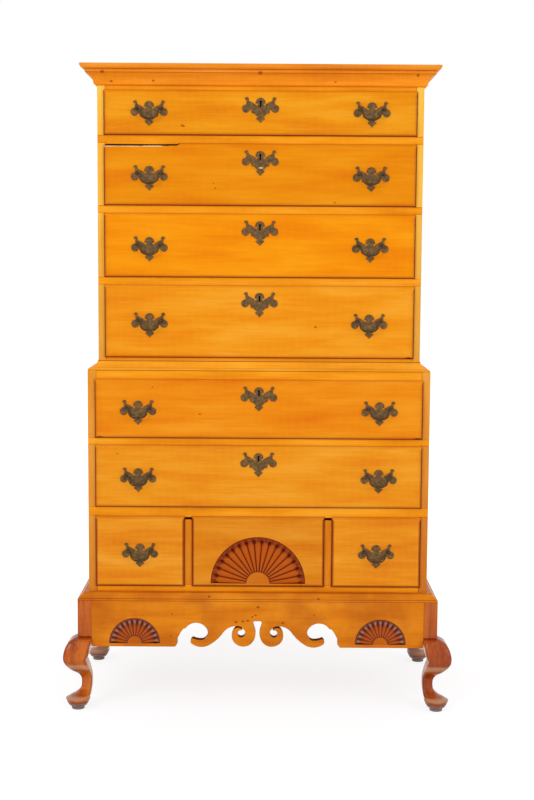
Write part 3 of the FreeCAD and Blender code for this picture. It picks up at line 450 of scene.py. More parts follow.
def fan_depth(fan, reach, angle):
    """Depth of a carved fan below the face, its dirt and painted shade, its redder stain and pale dust, by
    distance and angle.

    Petals are round ridges that deepen in step with the distance from the centre: depth grows as a power of
    how far a point lies from its petal's crest. The rim slopes from the petals' ends up to the face, and a
    round pit ends every groove.
    """
    radius, hub = fan.radius, fan.hub
    foot = radius - fan.rim
    side = np.abs((angle / (math.pi / fan.petals)) % 1 - 0.5) * 2
    petal = CREST + (fan.deep - CREST) * np.minimum(reach, foot) / foot * side**fan.power
    slope = np.clip((radius - reach) / fan.rim, 0, 1)
    across = (1 - side) * math.pi / fan.petals / 2 * reach
    pit = np.exp(-((reach - foot - fan.pit_out) / fan.pit_long) ** 2 - (across / fan.pit_wide) ** 2)
    depth = (petal * slope + 0.4 * fan.deep * pit) * ease(reach, hub - 0.4, hub + 1.2)
    wedge = fan.wedge * ease(side, 0.3, 0.85) * ease(reach, hub + 6, foot)
    groove = np.maximum(1 - ease(across, 0.5, fan.line_wide), wedge)
    groove *= within(reach, hub, hub + 1, radius - 1.5, radius) * (1 - 0.5 * ease(reach, foot + 2, foot + 6))
    uneven = 0.55 + 0.16 * np.sin(angle * 41 + 1) + 0.12 * np.sin(angle * 97)
    band = uneven * within(reach, foot - 3, foot + 3, radius, radius + 0.8)
    line = within(reach, radius - 3.2, radius - 0.6, radius, radius + 1.0)
    ring = 0.7 * within(reach, hub - 1.4, hub, hub + 0.6, hub + 3)
    # grooves, pits, the rim's band and outline and the hub's ring are darkened: dirt and painted shade in the
    # hollows
    dirt_and_shade = np.maximum.reduce(np.broadcast_arrays(0.95 * groove, band, line, ring, 1.4 * pit))
    stain = (0.45 + 0.4 * ease(reach, hub - 1, hub + 2)) * (1 - ease(reach, radius, radius + 1.0))
    dust = 0.7 * fan.wedge * np.exp(-((reach - foot) / 5) ** 2) * (1 - ease(side, 0.25, 0.6))
    return depth, np.clip(dirt_and_shade, 0, 1), stain, dust


def fan_relief(fan):
    """A fan's angles above and below its base, its rings about the centre, and their dirt and painted shade,
    stain and dust.

    Rings lie closer together at the hub, pits and rim. Below the base they are pressed into the fan's strip.
    """
    upper = np.linspace(0, math.pi, fan.petals * fan.fine + 1)
    lower = np.linspace(math.pi, 2 * math.pi, fan.below)
    angle = np.concatenate([upper, lower])
    above = np.arange(len(angle)) < len(upper)
    hub, radius, foot = fan.hub, fan.radius, fan.radius - fan.rim
    reach = np.concatenate([
        [hub * 0.02, hub * 0.6, hub - 1.5, hub - 0.4, hub + 0.4, hub + 1.2],
        np.linspace(hub + 4, foot - 14, 8),
        np.linspace(foot - 11, radius - 0.5, 18),
        [radius, radius + 1.0],
    ])[:, None]
    depth, *marks = fan_depth(fan, reach, angle)
    height = np.where(above, reach, fan.strip * np.minimum(reach / radius, 1)) * np.sin(angle)
    rings = np.stack([reach * np.cos(angle), np.where(above, depth, 0), height], -1)
    return upper, lower, rings, *(np.where(above, mark, 0) for mark in marks)


# Drawer fronts

# a lip's moulding from the face outwards: inset from the lip's edge, depth below the face, and darkening:
# dirt in the quirk and painted shade on the steep outer round
round_turn = np.linspace(0, math.pi / 2, 7)
LIP_MOULD = np.vstack([
    [(24, 0, 0), (11, 0, 0.04), (7.4, 0, 0.1), (6.7, 0.05, 0.24), (6.3, 0.8, 0.34)],
    np.column_stack([6.1 * (1 - np.sin(round_turn)), 0.9 + 5.4 * (1 - np.cos(round_turn)),
                     0.22 + 0.78 * ease(round_turn, 0.22, 0.7)]),
    [(0, 7.95, 1)],
])
# the bottom row's lips are darker still, dirt and painted shade, but not on the face
BOTTOM_MOULD = np.column_stack([LIP_MOULD[:, :2], np.minimum(1.0, 2.2 * LIP_MOULD[:, 2])])
BOTTOM_MOULD[:3, 2] = 0.0
LIP_THICKNESS, FRONT_DEPTH = 8.0, 22.0
BLOCK_LOW, BLOCK_HIGH = np.array([5.5, 4.3]), np.array([5.5, 6.0])
# from a front's top edge to the top of its escutcheon's dome, and on to the middle of the keyhole's round
DOME_DROP, KEYHOLE_DROP = 20.19, 12.0
KEYHOLE_ROUND, KEYHOLE_SLOT, KEYHOLE_FOOT, KEYHOLE_DEPTH = 3.0, 2.0, 14.0, 11.5
# a lock's recess in the back of a front: half width, height from the block's top, depth where it starts
LOCK_HALF, LOCK_TALL, LOCK_START = 30.8, 52.6, 12.2
BROKEN_LENGTH = 217


def front_corners(body):
    """Low and high corner of a drawer front as seen from the front, and the depth of its face."""
    start, end = box_mm(body + "_front")
    return start[[0, 2]], end[[0, 2]], start[1]


def rim_line(low, high, eye):
    """Points round a lip's edge: evenly spaced, and closer together where lines from the keyhole meet it."""
    even = np.linspace(low[0], high[0], int((high[0] - low[0]) / 6))
    spread, narrow = (
        np.tan(np.radians(np.linspace(-turn, turn, count))) for turn, count in ((78, 27), (40, 33)))
    lock_sides = np.array([-LOCK_HALF - 0.5, -LOCK_HALF - 0.4, LOCK_HALF + 0.4, LOCK_HALF + 0.5])
    top = np.concatenate([even, eye[0] + spread * (high[1] - eye[1]), eye[0] + lock_sides])
    foot = np.concatenate([even, eye[0] + narrow * (eye[1] - low[1])])
    top, foot = (np.unique(np.round(x[(x >= low[0]) & (x <= high[0])], 3)) for x in (top, foot))
    side = np.linspace(low[1], high[1], 24)
    runs = ((top[::-1], high[1]), (low[0], side[::-1]), (foot, low[1]), (high[0], side))
    return np.vstack([np.column_stack(np.broadcast_arrays(*run))[:-1] for run in runs])


def keyhole_line(rim, eye):
    """The keyhole's edge on the lines from its round's centre to the rim: a circle with a slot below it."""
    way = rim - eye
    way /= np.linalg.norm(way, axis=1, keepdims=True)
    down = (way[:, 1] < 0) & (np.abs(way[:, 0]) < KEYHOLE_SLOT / KEYHOLE_ROUND)
    slot = ((KEYHOLE_SLOT, KEYHOLE_FOOT) / np.maximum(np.abs(way), 1e-6)).min(axis=1)
    return eye + way * np.where(down, slot, KEYHOLE_ROUND)[:, None]


def ring_at(line, depth, *marks):
    """A line's points at a depth, with columns after them for their dirt and painted shade, bare wood and
    painted black shadow.
    """
    columns = (line[:, 0], depth, line[:, 1], *marks, *[0.0] * (3 - len(marks)))
    return np.column_stack([np.broadcast_to(column, len(line)) for column in columns])


def lip_rings(low, high, rim, levels, wear=None, locked=False):
    """Rings of a lip's moulding round its rim, then the block behind it.

    A ring is the rim's rectangle drawn in by its inset, so that corners stay mitred. The recess for a lock is
    made by lowering the top of the last two rings there.
    """
    share = (rim - low) / (high - low)
    on_top = share[:, 1] > 0.999
    # the lip darkens most along the upright edges and the bottom and least along the top: dirt, and painted
    # shade under the lip
    dirt_and_shade_by_side = np.where(on_top, 0.25, np.where(share[:, 1] < 0.001, 0.95, 1.0))
    rings = []
    for inset, depth, dark in levels:
        across, height = (low + inset + share * (high - low - 2 * inset)).T
        height, bare, gap = wear(low, high, across, height, depth) if wear else (height, False, 0.0)
        line = np.column_stack([across, height])
        rings.append(ring_at(line, depth, np.where(bare, 0.0, dark * dirt_and_shade_by_side), bare, gap))
    inner_low, inner_high = low + BLOCK_LOW, high - BLOCK_HIGH
    flat = inner_low + share * (inner_high - inner_low)
    recess = on_top & (np.abs(flat[:, 0] - (low[0] + high[0]) / 2) < LOCK_HALF + 0.1)
    sunk = np.column_stack([flat[:, 0], np.where(recess, inner_high[1] - LOCK_TALL, flat[:, 1])])
    plain = ((flat, LIP_THICKNESS), (flat, FRONT_DEPTH))
    cut_out = ((flat, LIP_THICKNESS), (flat, LOCK_START), (sunk, LOCK_START), (sunk, FRONT_DEPTH))
    return rings + [ring_at(line, depth, 0.3) for line, depth in (cut_out if locked else plain)]


def broken_top(low, high, across, height, depth):
    """The second drawer's broken lip: from its left end the top is torn off along a ragged slope.

    The slope rises towards the back; bare wood shows as a splinter along its front, black shadow behind that.
    """
    along = across - low[0]
    ragged = (np.sin(across * 0.31) + np.sin(across * 0.83 + 1.0) + np.sin(across * 0.117)) * 0.45
    rise = 3.2 * ease(along, 160, 185) + 8.3 * ease(along, BROKEN_LENGTH - 10, BROKEN_LENGTH)
    limit = high[1] - 6.1 - (1 - depth / LIP_THICKNESS) * (5.0 + 0.6 * ragged) + rise
    torn = (along < BROKEN_LENGTH) & (height > limit)
    thick = 3.8 + 1.8 * within(along, 100, 125, 150, 172) + 0.8 * ragged
    bare = torn & (depth > 0) & (depth < thick * (1 - ease(along, 160, 176)))
    return np.where(torn, limit, height), bare, torn & (depth > 0) & ~bare


def worn_ends(sides, low, high, across, height, depth):
    """A lip's lower edge worn to a hollow near its ends, painted black as its shadow: a dip that starts and
    stops softly.

    sides says which ends are worn: 1 for the right one, -1 for the left one.
    """
    inward = [high[0] - across if side > 0 else across - low[0] for side in sides]
    chip = np.max([within(far, 2, 7, 19, 26) for far in inward], axis=0)
    limit = low[1] + 0.6 * chip
    black = chip * (1 - ease(height - limit, 3.2, 5.2)) * (depth > 0)
    return np.maximum(height, limit), False, black


# each gives a lip's height, bare wood and painted black shadow in its gaps, from its place and depth
WEAR = {"drawer_2": broken_top, "drawer_4": partial(worn_ends, (1,)), "drawer_5": partial(worn_ends, (-1, 1))}


def drawer_front(body, material, wear=None, locked=False):
    """A lipped drawer front: face, keyhole, moulded lip and the block that enters the case."""
    low, high, face = front_corners(body)
    eye = np.array([(low[0] + high[0]) / 2, high[1] - DOME_DROP - KEYHOLE_DROP])
    rim = rim_line(low, high, eye)
    rings = lip_rings(low, high, rim, LIP_MOULD if locked else BOTTOM_MOULD, wear, locked)
    if locked:
        edge = keyhole_line(rim, eye)
        # the keyhole's walls are painted black: painted shade inside the hole
        hole = ((KEYHOLE_DEPTH, 1.0), (0.3, 1.0), (0.0, 0.0))
        rings = [ring_at(edge, depth, 0.0, 0.0, dark) for depth, dark in hole] + rings
    rings = np.array(rings)
    marks = {label: [rings[..., column]] for column, label in ((3, "edge"), (4, "bare_wood_and_highlight"), (5, "painted_shadow"))}
    piece(f"{body}_moulded_front", [shell(rings[..., :3] + (0, face, 0))], material, body,
          [body + "_front"], values=marks)


def fan_front(body, material):
    """The drawer front with the large fan: a polar relief about the fan's centre that runs out to the lip.

    Below the fan's base the rings are flattened into the narrow strip that is left there.
    """
    low, high, face = front_corners(body)
    base = low[1] + FAN_LIFT
    half, tall = high[0], high[1] - base
    upper, lower, relief, dirt_and_shade, stain, _ = fan_relief(LARGE_FAN)
    way = np.column_stack([np.cos(upper), np.sin(upper)])
    stretch = ((half, tall) / np.maximum(np.abs(way), 1e-9)).min(axis=1)
    rim_top = stretch[:, None] * way + (0, base)
    turns = np.array([1, 1.09, 1.91, 2]) * math.pi
    rim_low = np.column_stack([np.interp(lower, turns, (-half, -half, half, half)),
                               np.interp(lower, turns, (base, low[1], low[1], base))])
    for line, level in ((rim_top, high[1]), (rim_low, low[1])):
        for corner in ((half, level), (-half, level)):
            line[np.argmin(np.linalg.norm(line - corner, axis=1))] = corner
    lip = np.array(lip_rings(low, high, np.vstack([rim_top, rim_low]), BOTTOM_MOULD[2:]))
    rings = np.concatenate([relief + (0, face, base), lip[..., :3] + (0, face, 0)])
    none = np.zeros(lip.shape[:2])
    # the grooves, pits and rim get dirt and painted shade, and near-black painted shadow
    marks = {"edge": (dirt_and_shade, lip[..., 3]), "stain": (stain, none), "painted_shadow": (0.45 * dirt_and_shade, none)}
    piece("drawer_fan_carved_front", [shell(rings)], material, body, [body + "_front"],
          crease=40, values={label: [np.vstack(mark)] for label, mark in marks.items()})


for body in LONG_DRAWERS:
    drawer_front(body, fronts[body], WEAR.get(body), locked=True)
for label, _ in SIDES:
    drawer_front(f"drawer_small_{label}", fronts["bottom"])
fan_front("drawer_fan", fronts["fan"])


# Brasses

# right half of a pull plate from the top of its dome down, in strokes that start where the last one ended
PLATE_STROKES = (
    ((6, -1.35), (11.2, -5.6), (13.9, -12.3), (13.6, -17.2)),
    ((10.2, -15.8), (8, -18.2), (9.4, -21.2), (12.3, -22.5)),
    ((16.2, -18.2), (21, -15.3), (25.3, -12.6), (31.5, -10.3)),
    ((34, -8), (35, -4.6), (35.2, -1.2), (37.2, 1.2), (40.4, 2), (44.2, 0.5), (46.3, -3.4)),
    ((44.6, -5.2), (42.4, -5.4), (41.5, -8.3), (40.9, -13.8), (41.6, -19.4)),
    ((47, -20.5), (51.9, -24.8), (53.5, -31), (51.6, -37.6), (46.6, -41.7), (40.6, -42.3), (35.2, -39.6),
     (31.6, -35.2), (28.5, -32.4)),
    ((26.8, -36), (25.7, -43.1)),
    ((23.4, -44), (17, -46.2), (12.3, -51), (6.8, -54.1), (5, -55.3)),
    ((9.5, -56), (12.3, -58.9), (9, -63), (4.2, -66.8), (0, -71.6)),
)
PLATE_THICKNESS, PLATE_SCALE, PLATE_EASE, POST_DROP, POST_HALF_SPREAD = 2.2, 0.96, 0.5, 21.0, 34.0
NUT_HALF, NUT_DEEP, NUT_EASE = 5.5, 4.0, 0.6
# a lock's case: half width, height, how far it goes into the front and stands behind it, room for the bolt
CASE_HALF, CASE_TALL, CASE_IN, CASE_OUT, BOLT_ROOM = 30.0, 52.0, 9.5, 0.5, 0.3
right_half = np.zeros((1, 2))
for stroke in PLATE_STROKES:
    line = flowing([right_half[-1], *stroke], 5 * len(stroke) + 5)
    right_half = np.vstack([right_half, line[1:]])
right_half = (right_half + (0, POST_DROP)) * PLATE_SCALE - (0, POST_DROP)
plate_outline = np.vstack([right_half, (right_half * (-1, 1))[-2:0:-1]])
round_angle = np.radians(np.linspace(-48, 228, 16))
keyhole_round = KEYHOLE_ROUND * np.column_stack([np.cos(round_angle), np.sin(round_angle)])
keyhole_foot = ((-KEYHOLE_SLOT, -KEYHOLE_FOOT), (KEYHOLE_SLOT, -KEYHOLE_FOOT))
keyhole_outline = np.vstack([keyhole_round, keyhole_foot]) - (0, KEYHOLE_DROP)
# a turned post: distance out from the plate, radius
POST_LINE = (
    (16.4, 0.01), (15.9, 2.2), (14.4, 3.9), (11.2, 4.7), (8.2, 4.3), (6.4, 3.1), (4.4, 2.9), (2.6, 3.4),
    (1.6, 4.5), (0.2, 4.6), (-0.5, 4.6))
# right half of a bail from its pin to its middle: place across, height, radius
BAIL_LINE = (
    (38, 0, 1.9), (33, 0, 1.9), (29.4, -0.5, 1.95), (27.1, -3, 2), (26, -8.4, 1.9), (24.8, -15.4, 1.85),
    (21.4, -21.8, 1.95), (15, -26.2, 2.1), (7.5, -27.9, 2.25), (0, -28.1, 2.3))
# how many points are set along a post and half a bail, and round each
POST_POINTS, POST_COLUMNS, BAIL_POINTS, BAIL_COLUMNS = 34, 18, 46, 12

plate_form, escutcheon_form = (
    sawn(outlines, -PLATE_THICKNESS, 0, PLATE_EASE)[0]
    for outlines in ([plate_outline], [plate_outline, keyhole_outline]))
spun, post_faces = bar(flowing([(0, *step) for step in POST_LINE], POST_POINTS), POST_COLUMNS)
post_form = spun[:, [0, 2, 1]] * (1, -1, 1), post_faces
nut_form = softened((-NUT_HALF, 0, -NUT_HALF), (NUT_HALF, NUT_DEEP, NUT_HALF), NUT_EASE)
right_half = flowing(BAIL_LINE, BAIL_POINTS)
bail_form = bar(np.vstack([right_half, (right_half * (-1, 1, 1))[-2::-1]]), BAIL_COLUMNS)
swings = {
    joint["child"]: np.array(joint["pos_m"]) / MM for joint in frame["joints"] if joint["type"] == "hinge"}

for bail, axis in swings.items():
    label = bail[:-len("_bail")]
    body = label if label.startswith("drawer_small") else label.rsplit("_", 1)[0]
    face, back = (corner[1] for corner in box_mm(body + "_front"))
    plate = moved(plate_form, (axis[0], face, axis[2] + POST_DROP))
    piece(f"{label}_pull_plate", [plate], brass, body, [body + "_brasses"], crease=25)
    places = [axis[0] + sign * POST_HALF_SPREAD for _, sign in SIDES]
    posts = [moved(post_form, (x, face - PLATE_THICKNESS, axis[2])) for x in places]
    piece(f"{label}_posts", posts, shaded_brass, body)
    nuts = [moved(nut_form, (x, back, axis[2])) for x in places]
    piece(f"{label}_nuts", nuts, brass, body)
    piece(f"{label}_bail_cast", [moved(bail_form, axis)], shaded_brass, bail, [bail], crease=60)

for body in LONG_DRAWERS:
    start, end = box_mm(body + "_front")
    plate = moved(escutcheon_form, (0, start[1], end[2] - DOME_DROP))
    piece(f"{body}_escutcheon", [plate], brass, body, crease=25)
    bolt_low, bolt_high = box_mm(body + "_lock_bolt")
    top = end[2] - BLOCK_HIGH[1] + BOLT_ROOM
    case = (-CASE_HALF, end[1] - CASE_IN), (CASE_HALF, end[1] + CASE_OUT)
    room = bolt_low[:2] - BOLT_ROOM, bolt_high[:2] + BOLT_ROOM
    sizes = (case, top - CASE_TALL), (case, top), (room, top), (room, bolt_low[2] - BOLT_ROOM)
    rings = [[(a[0], a[1], z), (b[0], a[1], z), (b[0], b[1], z), (a[0], b[1], z)] for (a, b), z in sizes]
    piece(f"{body}_lock_case", [shell(rings)], iron, body)


# Mouldings

def moulding(name, source, steps, count, quirks, fade, dull, corner, back, materials):
    """A moulding along the front and back along both sides, mitred at the corners.

    Its profile is drawn outwards and up, and carried straight between two ends; an end is square at the back,
    and on a corner it follows the mitre, so that a point further out lies further along. Darkening is thick
    in the quirks, partly dirt and partly painted shade under the profile's overhangs, and fades over a
    distance; dull is how dark it lies elsewhere, and from how far out.
    """
    profile = drawn((0, 0), steps, count)
    gap = np.linalg.norm(profile[:, None] - np.array(quirks, float), axis=2).min(axis=1)
    dirt_and_shade = np.maximum(0.8 * (1 - ease(gap, 0.2, fade)), dull[0] * (profile[:, 0] > dull[1]))
    out, up = profile[:, 0], profile[:, 1] + box_mm(source)[0][2]
    left_back = np.column_stack([-corner[0] - out, np.full(len(out), back), up])
    left_front = np.column_stack([-corner[0] - out, corner[1] - out, up])
    flip = np.array([-1, 1, 1])
    runs = (("left", left_back, left_front, materials[1]),
            ("front", left_front, left_front * flip, materials[0]),
            ("right", left_back * flip, left_front * flip, materials[1]))
    for label, start, end, material in runs:
        rings = start + (end - start) * np.linspace(0, 1, 3)[:, None, None]
        piece(f"{name}_{label}", [shell(rings)], material, "carcase", [source], crease=28,
              values={"edge": [np.tile(dirt_and_shade, 3)]})


CORNICE_STEPS = (
    ((2.6, 0),), ((7.8, 2.8), (9.2, 8.2)), ((16.0, 22.6), (28.8, 32.4)), ((29.9, 32.4),), ((29.9, 42.6),),
    ((40.2, 45.0), (43.6, 51.0)), ((44, 55),), ((44, 56),), ((0, 56),))
WAIST_STEPS = (
    ((28.5, 0),), ((26.2, 4.8), (17.7, 7)), ((16.2, 7),), ((7.7, 15.1), (1.4, 25.2)), ((1.4, 28),),
    ((0, 28),))
BOARD_STEPS = (
    ((74.4, 0),), ((75, 0.6),), ((75, 4.4),), ((74.2, 5.0),), ((72.9, 5.6),), ((58.7, 21.6),), ((57.8, 22),),
    ((0, 22),))
BOARD_WIDTH = 75
case_low, case_high = box_mm("upper_case_sides")
case_corner = (case_high[0], case_low[1])
moulding("cornice_run", "cornice_moulding", CORNICE_STEPS, 12, ((2.6, 0), (29.9, 32.4), (29.9, 42.6)), 1.6,
         (0.13, 29), case_corner, case_high[1], (cornice_maple, return_maple))
moulding("waist_run", "waist_moulding", WAIST_STEPS, 10, ((28.5, 0), (1.4, 25.2)), 2.6,
         (0.16, 16), case_corner, case_high[1], (waist_maple, return_maple))
low, high = box_mm("frame_moulding")
wide = high[0] - BOARD_WIDTH
moulding("frame_board", "frame_moulding", BOARD_STEPS, 10, ((72.9, 5.6), (58.7, 21.6), (74.4, 0)), 1.6,
         (0.0, 0), (wide, low[1] + BOARD_WIDTH), high[1], (apron_maple, frame_side_maple))
board = softened((-wide, high[1] - BOARD_WIDTH, low[2]), (wide, *high[1:]))
piece("frame_board_back", [board], apron_maple, "carcase")


# Cases

TONGUE_DEPTH, RAIL_DEPTH, TOP_RAIL_DEPTH = 20.0, 75.0, 22.0
LIP_OVERLAP, JOINT_EASE, JOINT_GAP, TONGUE_SHORT, REAR_EASE = 4.0, 1.2, 0.15, 0.2, 0.5
# a rail is sound in front; behind that its lower edge has a pocket for the lock bolt of the drawer below it
SOUND_FRONT, POCKET_EASE = 5.0, 0.3
BOLT_POCKET = ((13, 0), (13, 8), (-13, 8), (-13, 0))
# a divider's front stops short of its drawers' top, with cut-off corners
DIVIDER_EASE, DIVIDER_SHORT, CUT_WIDE, CUT_TALL = 0.6, 10, 6, 5
# thickness of each case's sides, and its rows from the top down; the fan drawer stands for the bottom row
CASES = (("upper", 22.0, LONG_DRAWERS[:4]), ("lower", 24.0, [*LONG_DRAWERS[4:], "drawer_fan"]))


def rail_layers(upper, under, pocketed, front, depth):
    """A rail's sound front and the layer behind it, which laps over the front's eased edge.

    upper is its outline from the left end to the right one's lower corner, under is the way back.
    """
    pocket = [(x, under[0][1] + z) for x, z in BOLT_POCKET] if pocketed else []
    return [sawn([np.array(outline)], front + start, front + end, soft) for outline, start, end, soft in (
        (upper + under, 0, SOUND_FRONT, JOINT_EASE),
        (upper + pocket + under, SOUND_FRONT - JOINT_EASE, depth, POCKET_EASE))]


def case_sides(case, joints, low, high, width):
    """A case's two sides: boards notched for the rails' tongues, with pale front edges that darken downwards.

    Each is sawn as if seen from the side; faces that look to the front then get a material of their own.
    """
    front = low[1]
    outline = [(front, high[2])]
    for foot, head in joints:
        outline += [(front, head), (front + TONGUE_DEPTH, head), (front + TONGUE_DEPTH, foot), (front, foot)]
    outline += [(front, low[2]), (high[1], low[2]), (high[1], high[2])]
    (points, faces), edge = sawn([np.array(outline)], -width / 2, width / 2, JOINT_EASE)
    depth, through, height = points.T
    into = depth - front
    notch = 0.9 * edge * ease(into, 0.0, 0.5) * (into < TONGUE_DEPTH + 1)
    for label, sign in SIDES:
        stood = np.column_stack([sign * (high[0] - width / 2) - through, depth, height])
        stain = 0.45 * (high[2] - height) / (high[2] - low[2])
        stain += 0.18 if (case, label) == ("lower", "right") else 0.0
        board = piece(f"{case}_side_{label}", [(stood, faces)], side_maple, "carcase",
                      [f"{case}_case_sides"], values={"edge": [notch], "stain": [stain * (into < 2)]})
        board.data.materials.append(stile_maple[case])
        facing = np.empty(len(board.data.polygons) * 3)
        board.data.polygons.foreach_get("normal", facing)
        board.data.polygons.foreach_set("material_index", (facing[1::3] < -0.5).astype(np.int32))


def case_rails(case, rows, joints, low, high, width):
    """A case's rails: with tongues through the sides between drawers, plain at the top and bottom."""
    front, inside, wide = low[1], high[0] - width, high[0] - TONGUE_SHORT
    parts, dark = [], []
    for (foot, head), below in zip(joints, rows[1:]):
        tall, deep = head - JOINT_GAP, foot + JOINT_GAP
        edge_low, edge_high = foot - LIP_OVERLAP, head + LIP_OVERLAP
        upper = [(-wide, tall), (-inside, tall), (-inside, edge_high), (inside, edge_high), (inside, tall),
                 (wide, tall), (wide, deep), (inside, deep), (inside, edge_low)]
        under = [(-inside, edge_low), (-inside, deep), (-wide, deep)]
        for board, edge in rail_layers(upper, under, below in LONG_DRAWERS, front, TONGUE_DEPTH):
            parts.append(board)
            dark.append(edge * np.where(np.abs(board[0][:, 0]) > wide - 2, 0.3, 0.9))
        rear_corner = (-inside, front + TONGUE_DEPTH, edge_low)
        parts.append(softened(rear_corner, (inside, front + RAIL_DEPTH, edge_high), REAR_EASE))
        dark.append(0)
    edge_low = box_mm(rows[0] + "_front")[1][2] - LIP_OVERLAP
    foot_high = box_mm(rows[-1] + "_front")[0][2] + LIP_OVERLAP
    upper = [(-inside, high[2]), (inside, high[2]), (inside, edge_low)]
    parts += [board for board, _ in rail_layers(upper, [(-inside, edge_low)], True, front, TOP_RAIL_DEPTH)]
    parts.append(softened((-inside, front, low[2]), (inside, front + RAIL_DEPTH, foot_high), JOINT_EASE))
    dark += [0.9 * (np.abs(part[0][:, 0]) > inside - 1.0) for part in parts[-3:]]
    piece(f"{case}_rails", parts, rail_maple, "carcase", [f"{case}_drawer_rails"],
          values={"edge": dark})


for case, width, rows in CASES:
    low, high = box_mm(f"{case}_case_sides")
    boxes = [box_mm(row + "_front") for row in rows]
    # low and high edge of each rail's tongue, in the gap between one drawer's lip and the next
    joints = [(below[1][2], above[0][2]) for above, below in zip(boxes, boxes[1:])]
    case_sides(case, joints, low, high, width)
    case_rails(case, rows, joints, low, high, width)

front = box_mm("lower_case_sides")[0][1]
fan_low, fan_high = box_mm("drawer_fan_front")
divider_ends = fan_high[0] - LIP_OVERLAP, box_mm("drawer_small_right_front")[0][0] + LIP_OVERLAP
foot, head, top = fan_low[2] + LIP_OVERLAP, fan_high[2] - LIP_OVERLAP, fan_high[2] - DIVIDER_SHORT
for label, sign in SIDES:
    left, right = sorted(sign * end for end in divider_ends)
    shape = np.array([(left, foot), (right, foot), (right, top - CUT_TALL), (right - CUT_WIDE, top),
                      (left + CUT_WIDE, top), (left, top - CUT_TALL)])
    board, edge = sawn([shape], front, front + TONGUE_DEPTH, DIVIDER_EASE)
    rear = softened((left, front + TONGUE_DEPTH, foot), (right, front + RAIL_DEPTH, head), REAR_EASE)
    # the block behind the divider's front is painted near black: painted shade in the gap between the lips
    piece(f"divider_{label}", [board, rear], divider_maple, "carcase",
          values={"edge": [edge, 0], "painted_shadow": [0, 0.9]})


# Frame

# right half of the apron's scrolled cut, as shares of the scroll's half width and of its rise
SCROLL_SHARES = (
    ((0.973, 0.12),), ((0.972, 0.37),), ((0.958, 0.392),), ((0.932, 0.555), (0.897, 0.7)), ((0.873, 0.708),),
    ((0.734, 0.925), (0.619, 0.712)), ((0.606, 0.47), (0.667, 0.272)), ((0.725, 0.278), (0.782, 0.333)),
    ((0.813, 0.225), (0.788, 0.094)), ((0.68, -0.005), (0.583, 0.075)), ((0.492, 0.285), (0.414, 0.562)),
    ((0.348, 0.738), (0.262, 0.805)), ((0.215, 0.795), (0.172, 0.69)), ((0.149, 0.524), (0.196, 0.378)),
    ((0.243, 0.524), (0.203, 0.655)), ((0.184, 0.668), (0.196, 0.708)), ((0.23, 0.748), (0.272, 0.72)),
    ((0.313, 0.455), (0.256, 0.101)), ((0.184, 0.019), (0.099, 0.075)), ((0.026, 0.43), (0.038, 0.74)),
    ((0.053, 0.9),), ((0.047, 0.975), (0.026, 1)), ((0, 1),),
)
SCROLL_HALF, SCROLL_RISE, SMALL_FAN_PLACE, APRON_EASE, BACK_RAIL_TALL = 236.0, 76.0, 352.0, 0.6, 90.0

low, high = box_mm("frame_apron")
thickness = high[1] - low[1]
scaled = [[(u * SCROLL_HALF, low[2] + v * SCROLL_RISE) for u, v in step] for step in SCROLL_SHARES]
half_outline = np.vstack([[(0, high[2]), (high[0], high[2]), (high[0], low[2])],
                          drawn((SCROLL_HALF, low[2]), scaled)])
outline = np.vstack([half_outline, (half_outline * (-1, 1))[-2:0:-1]])
fan_base = low[2] + FAN_LIFT
half_turn, _, relief, *marks = fan_relief(SMALL_FAN)
half_disc = np.column_stack([np.cos(half_turn), np.sin(half_turn)]) * (SMALL_FAN.radius + 1.0)
holes = [half_disc + (sign * SMALL_FAN_PLACE, fan_base) for _, sign in SIDES]
board, edge = sawn([outline] + holes, low[1], high[1], APRON_EASE)
from_fan = np.hypot(np.abs(board[0][:, 0]) - SMALL_FAN_PLACE, board[0][:, 2] - fan_base)
open_edge = edge * (from_fan > SMALL_FAN.radius + 3)
# each fan is a plug through the board, whose last ring lies on the board's back
plug = np.concatenate([relief, relief[-1:] * (1, 0, 1) + (0, thickness, 0)])
dirt_and_shade, stain, dust = (np.vstack([mark, np.zeros(relief.shape[1])]) for mark in marks)
grey = np.maximum(dust, 0.15 * dirt_and_shade)
plugs = [shell(plug + (sign * SMALL_FAN_PLACE, low[1], fan_base)) for _, sign in SIDES]
# the scroll's open sawn edge is darkened to near black, painted shade under the cut; the fans' grooves and
# pits get dirt and painted shade
piece("scrolled_apron", [board, *plugs], apron_maple, "carcase", ["frame_apron"], crease=40,
      values={"edge": [edge * 0.8, dirt_and_shade, dirt_and_shade], "painted_shadow": [open_edge * 0.55, dirt_and_shade * 0.5, dirt_and_shade * 0.5],
              "stain": [0, stain, stain], "dust": [0, grey, grey]})

frame_low, frame_high = box_mm("frame_rails")
for label, sign in SIDES:
    ends = sorted((sign * (frame_high[0] - thickness), sign * frame_high[0]))
    rail = softened((ends[0], frame_low[1], low[2]), (ends[1], -frame_low[1], high[2]))
    piece(f"frame_side_rail_{label}", [rail], frame_side_maple, "carcase", ["frame_rails"])
inner_corner = (low[0], frame_high[1] - thickness, high[2] - BACK_RAIL_TALL)
rail = softened(inner_corner, (high[0], frame_high[1], high[2]))
piece("frame_back_rail", [rail], apron_maple, "carcase")

